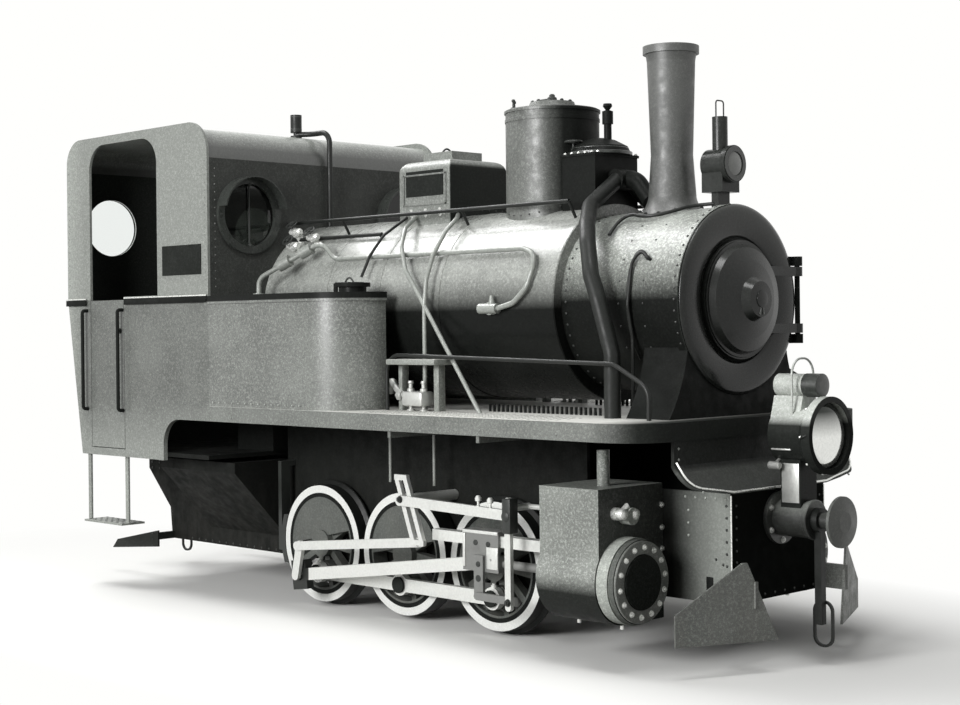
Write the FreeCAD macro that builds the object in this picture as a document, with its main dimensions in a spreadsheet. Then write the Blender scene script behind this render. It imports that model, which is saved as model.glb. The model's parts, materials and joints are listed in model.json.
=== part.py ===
import FreeCAD, Part
import Sketcher
import math
import os

# Small tank locomotive on six coupled wheels, outside cylinders, metre gauge.
# +X is forward, +Z is up, the origin is under the middle of the length, at the flange tips.
# Lengths along X are given from the middle axle and heights from the rail head.

SIZES = {
    # Wheels and axles
    "tread_radius": 400,
    "flange_height": 28,
    "flange_thickness": 32,
    "back_to_back": 930,
    "tyre_width": 120,
    "tyre_thickness": 56,
    "rim_thickness": 40,
    "axle_spacing": 840,
    "axle_radius": 65,
    "hub_radius": 92,
    "hub_proud": 14,
    "spoke_width": 44,
    "spoke_depth": 60,
    "crank_radius": 190,
    "crank_boss_radius": 74,
    # Length and reach
    "running_gap": 0.8,
    "clearance": 6,
    "overrun": 40,
    # Frame
    "frame_half_width": 447,
    "frame_plate": 25,
    "frame_nose": 480,
    "frame_rear": -3150,
    "frame_top": 940,
    "frame_mid_top": 1200,
    "frame_low": 262,
    "frame_front_low": 330,
    "frame_rear_shoulder": 790,
    "frame_rear_knee_x": -2860,
    "frame_rear_knee": 500,
    "frame_tank_rear": -1380,
    "axlebox_side": 230,
    "axlebox_depth": 90,
    "stretcher_height": 420,
    "stretcher_low": 420,
    # Front apron and running board
    "apron_half_width": 800,
    "apron_knee": 1100,
    "apron_rise": 50,
    "apron_round": 90,
    "apron_plate": 20,
    "board_half_width": 1085,
    "board_top": 1345,
    "board_low": 1242,
    "board_plate": 12,
    "board_valance": 16,
    "board_round": 270,
    "board_back": 130,
    "band_proud": 14,
    # Cab and side sheets
    "cab_front": -1434,
    "cab_rear": -3267,
    "cab_rear_foot": -3080,
    "cab_wall": 20,
    "belt_height": 2106,
    "belt_band": 16,
    "roof_drop": 40,
    "cab_front_round": 220,
    "eave_height": 3325,
    "skirt_low": 945,
    "skirt_front": -1975,
    "skirt_round": 185,
    "skirt_strip": 62,
    "cab_rear_round": 190,
    "doorway_rear": -2947,
    "doorway_front": -2051,
    "doorway_drop": 62,
    "doorway_round": 190,
    "door_front": -2490,
    "door_gap": 6,
    "door_hinge_radius": 12,
    "door_pin": 6,
    "door_knuckle": 70,
    "floor_height": 1000,
    "floor_plate": 30,
    "front_window_across": 735,
    "window_height_share": 0.4684,
    "window_radius_share": 0.1805,
    "window_rim": 52,
    "window_rim_depth": 26,
    "window_hood_depth": 110,
    "window_hood_plate": 10,
    "glass_plate": 8,
    "rear_window_across": 700,
    "blank_rear": -1980,
    "blank_length": 470,
    "blank_height": 210,
    "blank_rise": 154,
    "blank_thick": 6,
    "sand_blank_share": 0.72,
    "sand_blank_height": 170,
    # Side tanks
    "tank_front": -20,
    "tank_inner": 700,
    "tank_corner": 380,
    "tank_strip": 56,
    "tank_lid_radius": 115,
    "tank_lid_thick": 26,
    "tank_lid_x": -200,
    "tank_lid_across": 825,
    "tank_neck": 34,
    "lid_hinge_radius": 11,
    # Boiler
    "boiler_height": 2013,
    "boiler_radius": 604,
    "smokebox_radius": 539,
    "boiler_front": 1370,
    "smokebox_front": 2262,
    "smokebox_rim": 14,
    "smokebox_rim_width": 60,
    "door_rim_radius": 345,
    "door_dish_depth": 90,
    "door_dish_radius": 300,
    "door_boss_radius": 128,
    "door_boss_reach": 70,
    "door_seat_gap": 3,
    "door_edge": 22,
    "door_pin_radius": 16,
    "door_strap_height": 56,
    "door_strap_thick": 16,
    "door_strap_drop": 170,
    "saddle_half_width": 640,
    "saddle_rear": 1950,
    "saddle_waist": 470,
    "saddle_flare": 900,
    "backhead_length": 420,
    "backhead_half_width": 520,
    "backhead_top": 2560,
    "ashpan_rear": -2000,
    "ashpan_front": -1330,
    "hopper_rear": -2310,
    "hopper_front": -1400,
    "hopper_half_width": 900,
    "hopper_edge": 72,
    "hopper_low": 387,
    # Mountings
    "chimney_x": 1787,
    "chimney_top": 3534,
    "chimney_foot": 2540,
    "chimney_low_radius": 144,
    "chimney_waist_radius": 126,
    "chimney_rim_radius": 168,
    "chimney_rim_height": 46,
    "chimney_base_radius": 250,
    "chimney_base_height": 90,
    "chimney_bore": 104,
    "dome_x": 815,
    "dome_radius": 300,
    "dome_shoulder": 3243,
    "dome_crown": 3275,
    "dome_skirt": 2480,
    "dome_cover_radius": 150,
    "dome_cover_top": 3300,
    "dome_lip": 8,
    "regulator_rear": 1080,
    "regulator_front": 1350,
    "regulator_low": 2480,
    "regulator_top": 2930,
    "regulator_half": 200,
    "regulator_cap": 105,
    "valve_neck_radius": 24,
    "valve_body_radius": 34,
    "valve_top": 3246,
    "elbow_radius": 52,
    "elbow_height": 2765,
    "sandbox_rear": -360,
    "sandbox_front": 140,
    "sandbox_half_width": 262,
    "sandbox_top": 2990,
    "sandbox_round": 70,
    "sandbox_lid_half": 140,
    "sandbox_lid_height": 60,
    "whistle_across": 90,
    "whistle_radius": 42,
    "whistle_length": 175,
    "whistle_pipe_radius": 20,
    # Pipes and rails
    "steam_pipe_radius": 48,
    "steam_pipe_front": 1770,
    "feed_pipe_radius": 17,
    "feed_pipe_rear": -720,
    "feed_pipe_front": 1200,
    "pipe_gap": 14,
    "sand_pipe_radius": 14,
    "sand_pipe_rear": -200,
    "sand_pipe_front": 820,
    "sand_pipe_top": 2615,
    "sand_pipe_step": 185,
    "rail_radius": 13,
    "rail_stand": 116,
    "lower_rail_height": 355,
    "pipe_bend": 110,
    "clack_radius": 40,
    "clack_length": 150,
    # Cylinders
    "cylinder_across": 787,
    "cylinder_height": 460,
    "cylinder_length": 440,
    "cylinder_barrel": 250,
    "cylinder_face": 1000,
    "cylinder_top": 975,
    "cover_radius": 232,
    "cover_reach": 80,
    "cover_flange": 36,
    "cover_cap_radius": 150,
    "cover_cap": 24,
    "gland_radius": 62,
    "gland_reach": 130,
    "gland_gap": 191,
    "piston_depth": 30,
    "piston_rod_radius": 26,
    "valve_height": 818,
    "valve_cover_radius": 48,
    "valve_cover_reach": 70,
    "cup_radius": 36,
    "cup_height": 200,
    # Rods and crossheads
    "crank_lead_share": 0.033,
    "pin_radius": 38,
    "pin_collar": 52,
    "pin_collar_thick": 14,
    "coupling_rod_gap": 30,
    "coupling_rod_thick": 45,
    "coupling_rod_height": 84,
    "coupling_eye_radius": 70,
    "connecting_rod_length": 1790,
    "connecting_rod_thick": 56,
    "connecting_rod_height": 80,
    "big_end_length": 150,
    "big_end_height": 196,
    "small_end_radius": 50,
    "wrist_pin_radius": 28,
    "slide_bar_low": 562,
    "slide_bar_height": 66,
    "slide_bar_width": 70,
    "slide_bar_rear": 530,
    "slide_gap": 1,
    "crosshead_length": 300,
    "cheek_thick": 20,
    "slipper_thick": 26,
    "drop_arm_width": 76,
    "drop_arm_reach": 215,
    "drop_arm_thick": 20,
    "union_link_length": 330,
    "union_link_height": 46,
    # Valve gear
    "return_crank_reach": 90,
    "return_crank_thick": 26,
    "return_crank_width": 66,
    "eccentric_rod_height": 58,
    "eccentric_rod_thick": 26,
    "link_foot_x": 480,
    "link_foot": 545,
    "link_head_x": 330,
    "link_head": 940,
    "link_bar_width": 34,
    "link_bar_gap": 44,
    "radius_rod_rear_x": 300,
    "radius_rod_rear": 800,
    "lever_x": 1310,
    "lever_top": 835,
    "lever_low": 245,
    "lever_width": 46,
    "radius_rod_height": 62,
    "gear_bar": 26,
    "spindle_radius": 16,
    # Lamps
    "head_lamp_height": 1250,
    "head_lamp_reach": 356,
    "head_lamp_bezel": 216,
    "head_lamp_bezel_depth": 110,
    "head_lamp_body": 158,
    "head_lamp_length": 220,
    "head_lamp_glass": 186,
    "lamp_hood_gap": 20,
    "lamp_hood_length": 192,
    "lamp_hood_half": 100,
    "lamp_hood_low": 1340,
    "lamp_hood_top": 1468,
    "lamp_drum_gap": 15,
    "lamp_drum_length": 285,
    "lamp_drum_radius": 64,
    "lamp_drum_height": 1526,
    "bail_gap": 170,
    "bail_half": 105,
    "bail_top": 1676,
    "bail_foot": 1350,
    "top_lamp_x": 2145,
    "top_lamp_height": 2800,
    "top_lamp_radius": 108,
    "top_lamp_length": 150,
    "top_lamp_tube": 45,
    "top_lamp_tube_top": 3080,
    "top_lamp_loop_top": 3175,
    # Buffers and draw gear
    "buffer_height": 777,
    "buffer_radius": 142,
    "buffer_disc": 34,
    "buffer_shaft": 46,
    "buffer_barrel": 104,
    "buffer_barrel_length": 250,
    "buffer_reach": 440,
    "rear_buffer_reach": 350,
    "rear_buffer_barrel": 160,
    "buffer_flange": 150,
    "buffer_flange_thick": 26,
    "coupling_bar": 44,
    "coupling_low": 200,
    "coupling_link": 260,
    # Guards, steps and brakes
    "guard_plate": 14,
    "guard_low": 150,
    "guard_height": 428,
    "guard_back": 50,
    "guard_reach": 260,
    "guard_spread": 570,
    "rear_guard_reach": 300,
    "guard_across": 880,
    "step_across": 1050,
    "step_rear": -3040,
    "step_front": -2530,
    "step_height": 450,
    "step_depth": 200,
    "step_plate": 14,
    "step_bar": 40,
    "shoe_thick": 42,
    "shoe_half_height": 170,
    "hanger_width": 36,
    "handrail_stand": 45,
}


class Size:
    """A length that keeps its number and the sheet formula it comes from."""

    def __init__(self, number, formula):
        self.number = number
        self.formula = formula

    def __add__(self, other):
        other = as_size(other)
        return Size(self.number + other.number, "(%s + %s)" % (self.formula, other.formula))

    def __sub__(self, other):
        other = as_size(other)
        return Size(self.number - other.number, "(%s - %s)" % (self.formula, other.formula))

    def __mul__(self, other):
        other = as_size(other)
        return Size(self.number * other.number, "(%s * %s)" % (self.formula, other.formula))

    def __truediv__(self, other):
        other = as_size(other)
        return Size(self.number / other.number, "(%s / %s)" % (self.formula, other.formula))

    def __neg__(self):
        return Size(-self.number, "(0 - %s)" % self.formula)

    def __radd__(self, other):
        return as_size(other) + self

    def __rsub__(self, other):
        return as_size(other) - self

    def __rmul__(self, other):
        return as_size(other) * self


def as_size(value):
    if isinstance(value, Size):
        return value
    return Size(float(value), "(%.9f)" % value)


def root(value):
    return Size(math.sqrt(value.number), "sqrt(%s)" % value.formula)


class Sheet:
    """Gives each named cell of the spreadsheet as a Size."""

    def __getattr__(self, name):
        return Size(float(sheet.get(name)), "Sizes." + name)


doc = FreeCAD.newDocument("Locomotive")
sheet = doc.addObject("Spreadsheet::Sheet", "Sizes")
for row, (alias, value) in enumerate(SIZES.items(), start=1):
    sheet.set("A%d" % row, alias)
    sheet.set("B%d" % row, str(value))
    sheet.setAlias("B%d" % row, alias)
doc.recompute()
S = Sheet()

Vector = FreeCAD.Vector
Rotation = FreeCAD.Rotation
AXIS_TURN = {
    "x": Rotation(Vector(0, 1, 0), 90),
    "y": Rotation(Vector(1, 0, 0), -90),
    "z": Rotation(),
}
PROFILE_TURN = {
    "x": Rotation(),
    "y": Rotation(Vector(0, 0, 1), 90),
    "z": Rotation(Vector(0, 1, 0), -90),
}
FACING_PLANE = {"side": "XZ_Plane", "front": "YZ_Plane", "flat": "XY_Plane"}

nodes = {}


def wrist_limit(reach):
    """Where the crosshead pin stands when the crank adds this reach to the connecting rod."""
    drop = S.cylinder_height - S.tread_radius
    length = S.connecting_rod_length + reach
    return root(length * length - drop * drop) - S.axle_spacing


# The cylinders stand clear of the crosshead's front-most place, and the frame ends ahead of them
cylinder_rear = wrist_limit(S.crank_radius) + S.crosshead_length / 2 + S.gland_gap + S.gland_reach
piston_rod_length = cylinder_rear + S.piston_depth - wrist_limit(-S.crank_radius) - S.crosshead_length / 2
frame_front = cylinder_rear + S.cylinder_length + S.frame_nose
board_front = frame_front - S.board_back
shift = (S.rear_buffer_reach - S.frame_rear - frame_front - S.buffer_reach) / 2
window_height = S.belt_height + (S.eave_height - S.belt_height) * S.window_height_share
window_radius = (S.eave_height - S.belt_height) * S.window_radius_share

# Routes round the boiler: (share of the way forward, share of a right angle down from the top)
STEAM_PIPE_SHARES = ((0, 0.31), (0.33, 0.51), (0.55, 0.65), (0.8, 0.85), (1, 1))
FEED_PIPE_SHARES = ((0, 0.65), (0.93, 0.65), (0.985, 0.69), (1, 0.78), (0.985, 0.91), (0.93, 1), (0.86, 1.03))
SAND_PIPE_SHARES = ((0.09, 0.45), (0.175, 0.61), (0.3, 0.78), (0.48, 0.96))
SAND_PIPE_TURN_SHARES = ((0, 0.38), (0, 0.51), (0, 0.69), (0, 0.85), (0, 1))
LEVER_SHARES = ((0, 0.5), (0.5, 0.66), (1, 0.81))
HOOK_TURN_SHARES = (0.72, 0.66, 0.75, 1.03, 1.25)
INJECTOR_TURN_SHARE = 0.56
RAIL_TURN_SHARE = 0.35
ROD_TURN_SHARE = 0.43
SPOKE_PAIRS = 5


def fore(x):
    """A place along the length, given from the middle axle."""
    return shift + x


def rise(z):
    """A height given from the rail head."""
    return S.flange_height + z


def bind(item, values):
    for key, value in values.items():
        item.setExpression(key, as_size(value).formula)


def put(item, at, turn=Rotation()):
    item.Placement = FreeCAD.Placement(Vector(), turn)
    bind(item, {"Placement.Base.x": at[0], "Placement.Base.y": at[1], "Placement.Base.z": at[2]})
    return item


def box(name, size, at):
    item = doc.addObject("Part::Box", name)
    bind(item, {"Length": size[0], "Width": size[1], "Height": size[2]})
    return put(item, at)


def rod(name, radius, length, at, axis="z"):
    item = doc.addObject("Part::Cylinder", name)
    bind(item, {"Radius": radius, "Height": length})
    return put(item, at, AXIS_TURN[axis])


def cone(name, low, high, length, at, axis="z"):
    item = doc.addObject("Part::Cone", name)
    bind(item, {"Radius1": low, "Radius2": high, "Height": length})
    return put(item, at, AXIS_TURN[axis])


def leaning_box(name, size, centre, along):
    """A box whose length lies along a direction (x, z) in the side plane."""
    length = root(along[0] * along[0] + along[1] * along[1])
    cosine = along[0] / length
    sine = along[1] / length
    angle = math.degrees(math.atan2(along[1].number, along[0].number))
    item = doc.addObject("Part::Box", name)
    bind(item, {"Length": size[0], "Width": size[1], "Height": size[2]})
    x = centre[0] - cosine * size[0] / 2 + sine * size[2] / 2
    z = centre[2] - sine * size[0] / 2 - cosine * size[2] / 2
    return put(item, (x, centre[1] - size[1] / 2, z), Rotation(Vector(0, 1, 0), -angle))


def joined(name, items):
    item = doc.addObject("Part::MultiFuse", name)
    item.Shapes = items
    item.Refine = True
    return item


def cut(name, base, tools):
    item = doc.addObject("Part::Cut", name)
    item.Base = base
    item.Tool = tools[0] if len(tools) == 1 else joined(name + "_tools", tools)
    item.Refine = True
    return item


def common(name, base, tool):
    item = doc.addObject("Part::Common", name)
    item.Base = base
    item.Tool = tool
    return item


def mirrored(name, item):
    twin = doc.addObject("Part::Mirroring", name)
    twin.Source = item
    twin.Normal = Vector(0, 1, 0)
    return twin


def node(name, item):
    item.Label = name
    nodes[name] = item
    return item


def outline_sketch(body, name, plane_role, outline):
    """A closed sketch. Each point is (u, v) or (u, v, radius of the arc to the next point)."""
    plane = [item for item in body.Origin.OriginFeatures if item.Role == plane_role][0]
    sketch = body.newObject("Sketcher::SketchObject", name + "_sketch")
    sketch.AttachmentSupport = [(plane, "")]
    sketch.MapMode = "FlatFace"
    points = [(as_size(point[0]), as_size(point[1])) for point in outline]
    count = len(points)
    for index, point in enumerate(outline):
        start = Vector(points[index][0].number, points[index][1].number, 0)
        after = points[(index + 1) % count]
        end = Vector(after[0].number, after[1].number, 0)
        if len(point) == 2:
            sketch.addGeometry(Part.LineSegment(start, end), False)
            continue
        radius = as_size(point[2])
        chord = end - start
        depth = math.sqrt(max(radius.number ** 2 - (chord.Length / 2) ** 2, 0))
        side = Vector(-chord.y, chord.x, 0).normalize() * math.copysign(depth, radius.number)
        centre = (start + end) / 2 + side
        first, last = (start, end) if radius.number > 0 else (end, start)
        angles = [math.atan2(spot.y - centre.y, spot.x - centre.x) for spot in (first, last)]
        if angles[1] < angles[0]:
            angles[1] += math.radians(360)
        circle = Part.Circle(centre, Vector(0, 0, 1), abs(radius.number))
        sketch.addGeometry(Part.ArcOfCircle(circle, angles[0], angles[1]), False)
    for index in range(count):
        ends = edge_ends(sketch, index, points)
        after = edge_ends(sketch, (index + 1) % count, points)
        sketch.addConstraint(Sketcher.Constraint("Coincident", index, ends[1], (index + 1) % count, after[0]))
    for index, point in enumerate(points):
        first = edge_ends(sketch, index, points)[0]
        for kind, value in zip(("DistanceX", "DistanceY"), point):
            number = sketch.addConstraint(Sketcher.Constraint(kind, -1, 1, index, first, value.number))
            sketch.setExpression("Constraints[%d]" % number, value.formula)
        if len(outline[index]) == 3:
            radius = as_size(outline[index][2])
            number = sketch.addConstraint(Sketcher.Constraint("Radius", index, abs(radius.number)))
            sketch.setExpression("Constraints[%d]" % number, "abs(%s)" % radius.formula)
    return sketch


def edge_ends(sketch, index, points):
    """Which end of a sketch edge starts at its own outline point."""
    edge = sketch.Geometry[index]
    start = Vector(points[index][0].number, points[index][1].number, 0)
    return (1, 2) if edge.StartPoint.distanceToPoint(start) < edge.EndPoint.distanceToPoint(start) else (2, 1)


def plate(name, facing, outline, thickness, at, rounds=(), turn=Rotation()):
    """A padded outline; rounds are (u, v, radius) corners rounded through the thickness."""
    body = doc.addObject("PartDesign::Body", name)
    sketch = outline_sketch(body, name, FACING_PLANE[facing], outline)
    pad = body.newObject("PartDesign::Pad", name + "_pad")
    pad.Profile = sketch
    bind(pad, {"Length": thickness})
    pad.Reversed = facing == "side"
    last = pad
    for count, (radius, corners) in enumerate(rounds):
        doc.recompute()
        edges = corner_edges(last.Shape, facing, corners)
        feature = body.newObject("PartDesign::Fillet", "%s_round%d" % (name, count))
        feature.Base = (last, edges)
        bind(feature, {"Radius": radius})
        last = feature
    body.Tip = last
    return put(body, at, turn)


def corner_edges(shape, facing, corners):
    keep = {"side": ("x", "z"), "front": ("y", "z"), "flat": ("x", "y")}[facing]
    wanted = [(as_size(corner[0]).number, as_size(corner[1]).number) for corner in corners]
    found = []
    for index, edge in enumerate(shape.Edges, start=1):
        for corner in wanted:
            flat = [(getattr(v.Point, keep[0]), getattr(v.Point, keep[1])) for v in edge.Vertexes]
            if len(flat) == 2 and all(math.dist(spot, corner) < 0.01 for spot in flat):
                found.append("Edge%d" % index)
    return found


def turned(name, outline, at, axis):
    """An outline of (along, radius) points turned about its own axis."""
    body = doc.addObject("PartDesign::Body", name)
    sketch = outline_sketch(body, name, "XY_Plane", outline)
    spin = body.newObject("PartDesign::Revolution", name + "_spin")
    spin.Profile = sketch
    spin.ReferenceAxis = (sketch, ["H_Axis"])
    spin.Angle = 360
    body.Tip = spin
    return put(body, at, PROFILE_TURN[axis])


def pipe(name, route, radius, bend):
    """A round pipe of straight runs and tangent arcs through the route's points."""
    spots = [Vector(*(as_size(part).number for part in point)) for point in route]
    edges = []
    start = spots[0]
    for before, corner, after in zip(spots, spots[1:], spots[2:]):
        back = (before - corner).normalize()
        ahead = (after - corner).normalize()
        turn = math.pi - back.getAngle(ahead)
        shorter = min((before - corner).Length, (after - corner).Length)
        reach = min(bend.number * math.tan(turn / 2), shorter * 0.45)
        first = corner + back * reach
        last = corner + ahead * reach
        middle = (back + ahead).normalize()
        curve = reach / math.tan(turn / 2)
        inner = corner + middle * (math.hypot(curve, reach) - curve)
        edges.append(Part.LineSegment(start, first).toShape())
        edges.append(Part.Arc(first, inner, last).toShape())
        start = last
    edges.append(Part.LineSegment(start, spots[-1]).toShape())
    path = Part.Wire(edges)
    circle = Part.Circle(spots[0], (spots[1] - spots[0]).normalize(), radius.number)
    item = doc.addObject("Part::Feature", name)
    item.Shape = path.makePipeShell([Part.Wire([circle.toShape()])], True, True)
    return item


# Places that several pieces share
axle_height = rise(S.tread_radius)
wheel_face = S.back_to_back / 2 + S.tyre_width
rim_radius = S.tread_radius - S.tyre_thickness
axle_places = {
    "rear": fore(-S.axle_spacing),
    "middle": fore(0 * S.axle_spacing),
    "front": fore(S.axle_spacing),
}
lead_angle = math.radians(360) * S.crank_lead_share.number
CRANK_ANGLES = {"right": lead_angle, "left": lead_angle + math.radians(90)}
SIDES = {"right": -1, "left": 1}
rod_inner = wheel_face + S.coupling_rod_gap
rod_outer = rod_inner + S.coupling_rod_thick
board_edge = S.board_half_width


def crank_offset(side):
    """The crank pin's place from its axle, as (x, z)."""
    angle = CRANK_ANGLES[side]
    return S.crank_radius * math.sin(angle), -S.crank_radius * math.cos(angle)


def across(side, near, depth):
    """The lower y of a layer that starts at distance near and is depth thick."""
    return -(near + depth) if side == "right" else near


def wheelset(place):
    x = axle_places[place]
    items = [rod(place + "_axle", S.axle_radius, 2 * wheel_face, (x, -wheel_face, axle_height), "y")]
    tyres = []
    for side in SIDES:
        label = "%s_%s" % (place, side)
        inner = S.back_to_back / 2
        width = S.tyre_width
        low = across(side, inner, width)
        disc = rod(label + "_disc", rim_radius, width, (x, low, axle_height), "y")
        hole = rod(label + "_hole", rim_radius - S.rim_thickness, width + 2 * S.overrun,
                   (x, low - S.overrun, axle_height), "y")
        items.append(cut(label + "_rim", disc, [hole]))
        items.append(rod(label + "_hub", S.hub_radius, width + S.hub_proud,
                         (x, across(side, inner, width + S.hub_proud), axle_height), "y"))
        spoke_at = across(side, inner + (width - S.spoke_depth) / 2, S.spoke_depth) + S.spoke_depth / 2
        reach = rim_radius - S.rim_thickness / 2
        angle = CRANK_ANGLES[side]
        for turn in range(SPOKE_PAIRS):
            lean = angle + math.radians(180) * (turn + 1 / 2) / SPOKE_PAIRS
            along = (S.spoke_width * math.cos(lean), S.spoke_width * math.sin(lean))
            items.append(leaning_box("%s_spoke%d" % (label, turn), (2 * reach, S.spoke_depth, S.spoke_width),
                                     (x, spoke_at, axle_height), along))
        items.append(counterweight(label, side, x, low, width))
        pin_x, pin_z = crank_offset(side)
        items.append(rod(label + "_boss", S.crank_boss_radius, width + S.hub_proud,
                         (x + pin_x, across(side, inner, width + S.hub_proud), axle_height + pin_z), "y"))
        pin_end = rod_outer + S.clearance + S.pin_collar_thick
        items.append(rod(label + "_pin", S.pin_radius, pin_end - inner,
                         (x + pin_x, across(side, inner, pin_end - inner), axle_height + pin_z), "y"))
        items.append(rod(label + "_collar", S.pin_collar, S.pin_collar_thick,
                         (x + pin_x, across(side, rod_outer + S.clearance, S.pin_collar_thick),
                          axle_height + pin_z), "y"))
        tyres.append(tyre(label, side, x, place != "middle"))
    node("wheelset_" + place, joined(place + "_wheelset", items))
    node("tyres_" + place, joined(place + "_tyres", tyres))


def counterweight(label, side, x, low, width):
    """A weight between the spokes, opposite the crank pin."""
    angle = CRANK_ANGLES[side]
    ring = rod(label + "_weight_disc", rim_radius - S.rim_thickness / 2, width, (x, low, axle_height), "y")
    along = (S.spoke_width * math.cos(angle), S.spoke_width * math.sin(angle))
    depth = rim_radius - S.hub_radius / 2
    middle = S.hub_radius / 2 + depth / 2
    half = leaning_box(label + "_weight_box", (2 * rim_radius, width, depth),
                       (x - middle * math.sin(angle), low + width / 2, axle_height + middle * math.cos(angle)),
                       along)
    return common(label + "_weight", ring, half)


def tyre(label, side, x, flanged):
    """One tyre. The middle pair has no flange, because the axles are so close."""
    back = S.back_to_back / 2
    top = S.tread_radius
    tip = top + S.flange_height
    face = back + S.tyre_width
    shape = [(back, rim_radius), (face, rim_radius), (face, top - S.flange_height / 8)]
    if flanged:
        shape += [
            (back + S.flange_thickness + S.flange_height / 3, top),
            (back + S.flange_thickness * 3 / 4, tip - S.flange_height / 8),
            (back + S.flange_thickness / 2, tip),
            (back + S.flange_thickness / 4, tip - S.flange_height / 8),
        ]
    shape.append((back, top))
    if side == "right":
        shape = [(-along, radius) for along, radius in reversed(shape)]
    return turned(label + "_tyre", shape, (x, 0, axle_height), "y")


def frame():
    low = rise(S.frame_low)
    shape = [
        (fore(S.frame_rear), rise(S.frame_top)),
        (fore(S.frame_rear), rise(S.frame_rear_shoulder)),
        (fore(S.frame_rear_knee_x), rise(S.frame_rear_knee)),
        (fore(S.frame_rear_knee_x) + S.frame_plate, low),
        (fore(cylinder_rear), low),
        (fore(cylinder_rear) + S.stretcher_height / 2, rise(S.frame_front_low)),
        (fore(frame_front), rise(S.frame_front_low)),
        (fore(frame_front), rise(S.frame_top)),
        (fore(cylinder_rear) - S.gland_reach, rise(S.frame_top)),
        (fore(cylinder_rear) - S.gland_reach, rise(S.frame_mid_top)),
        (fore(S.frame_tank_rear), rise(S.frame_mid_top)),
        (fore(S.frame_tank_rear), rise(S.frame_top)),
    ]
    right = plate("frame_plate_right", "side", shape, S.frame_plate, (0, -S.frame_half_width, 0))
    parts = [right, mirrored("frame_plate_left", right)]
    wide = 2 * (S.frame_half_width - S.frame_plate)
    inner = -(S.frame_half_width - S.frame_plate)
    half = S.axle_spacing / 2
    for index, x in enumerate((half, -half, 2 * half + half, -2 * half - half, S.frame_rear_knee_x)):
        parts.append(box("stretcher%d" % index, (S.frame_plate, wide, S.stretcher_height),
                         (fore(x), inner, rise(S.stretcher_low))))
    parts.append(box("front_stretcher", (S.frame_plate, wide, S.frame_top - S.frame_front_low),
                     (fore(frame_front) - S.frame_plate, inner, rise(S.frame_front_low))))
    parts.append(box("rear_stretcher", (S.frame_plate, wide, S.frame_top - S.frame_rear_shoulder),
                     (fore(S.frame_rear), inner, rise(S.frame_rear_shoulder))))
    parts.append(box("well_tank_top", (cylinder_rear - S.gland_reach - S.frame_tank_rear, wide, S.frame_plate),
                     (fore(S.frame_tank_rear), inner, rise(S.frame_mid_top) - S.frame_plate)))
    bores = []
    for place, x in axle_places.items():
        for side in SIDES:
            at = across(side, S.frame_half_width - S.axlebox_depth, S.axlebox_depth)
            parts.append(box("axlebox_%s_%s" % (place, side), (S.axlebox_side, S.axlebox_depth, S.axlebox_side),
                             (x - S.axlebox_side / 2, at, axle_height - S.axlebox_side / 2)))
        bores.append(rod("axle_bore_" + place, S.axle_radius + S.running_gap, 2 * wheel_face,
                         (x, -wheel_face, axle_height), "y"))
    node("frame", cut("frame_bored", joined("frame_parts", parts), bores))


def apron():
    """The front sheet: upright under the board, then leaning out to the frame's front."""
    half = S.apron_half_width
    sheet_thick = S.apron_plate
    back = fore(board_front)
    foot = fore(frame_front)
    knee = rise(S.apron_knee)
    low = rise(S.frame_top)
    top = rise(S.board_top) - S.board_plate
    bent = plate("apron_bent", "side", [
        (back, top),
        (back, knee),
        (foot, low),
        (foot + sheet_thick, low),
        (foot + sheet_thick, low + sheet_thick),
        (back + sheet_thick, knee + sheet_thick / 2),
        (back + sheet_thick, top),
    ], 2 * half, (0, -half, 0))
    wing = S.frame_half_width
    outline = [
        (-half, low + S.apron_rise),
        (-wing, low),
        (wing, low),
        (half, low + S.apron_rise),
        (half, top),
        (-half, top),
    ]
    face = plate("apron_face", "front", outline, S.board_back + 2 * S.overrun, (back - S.overrun, 0, 0),
                 [(S.apron_round, [outline[0], outline[3]])])
    node("front_apron", common("apron_sheet", bent, face))


def board_outline(inset):
    """The board's outline from above, set in from its outer edge, without the cab's end."""
    rear = fore(S.cab_front)
    edge = board_edge + S.band_proud - inset
    front = fore(board_front) + S.apron_plate + S.board_valance - inset
    return [(rear, -edge), (front, -edge), (front, edge), (rear, edge)]


def running_board():
    outer = board_outline(0)
    inner = board_outline(S.board_valance)
    top = rise(S.board_top)
    low = rise(S.board_low)
    sheet_plate = plate("board_sheet", "flat", outer, top - low, (0, 0, low), [(S.board_round, outer[1:3])])
    start = fore(S.cab_front) - S.overrun
    hollow_shape = [(start, inner[0][1]), inner[1], inner[2], (start, inner[3][1])]
    hollow = plate("board_hollow", "flat", hollow_shape, top - low - S.board_plate + S.overrun,
                   (0, 0, low - S.overrun), [(S.board_round - S.board_valance, hollow_shape[1:3])])
    parts = [cut("board_tray", sheet_plate, [hollow])]
    wide = board_edge + S.band_proud - S.board_valance - S.frame_half_width
    for index, x in enumerate((S.axle_spacing / 2, cylinder_rear - S.axle_spacing / 2)):
        for side in SIDES:
            at = across(side, S.frame_half_width, wide)
            parts.append(box("board_bearer%d_%s" % (index, side),
                             (S.frame_plate, wide, S.board_top - S.board_plate - S.frame_mid_top),
                             (fore(x), at, rise(S.frame_mid_top))))
    node("running_board", joined("running_board_parts", parts))


def tank_outline(proud):
    rear = fore(S.cab_front)
    edge = board_edge + proud
    front = fore(S.tank_front) + proud
    return [(rear, -edge), (front, -edge), (front, -S.tank_inner), (rear, -S.tank_inner)]


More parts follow.
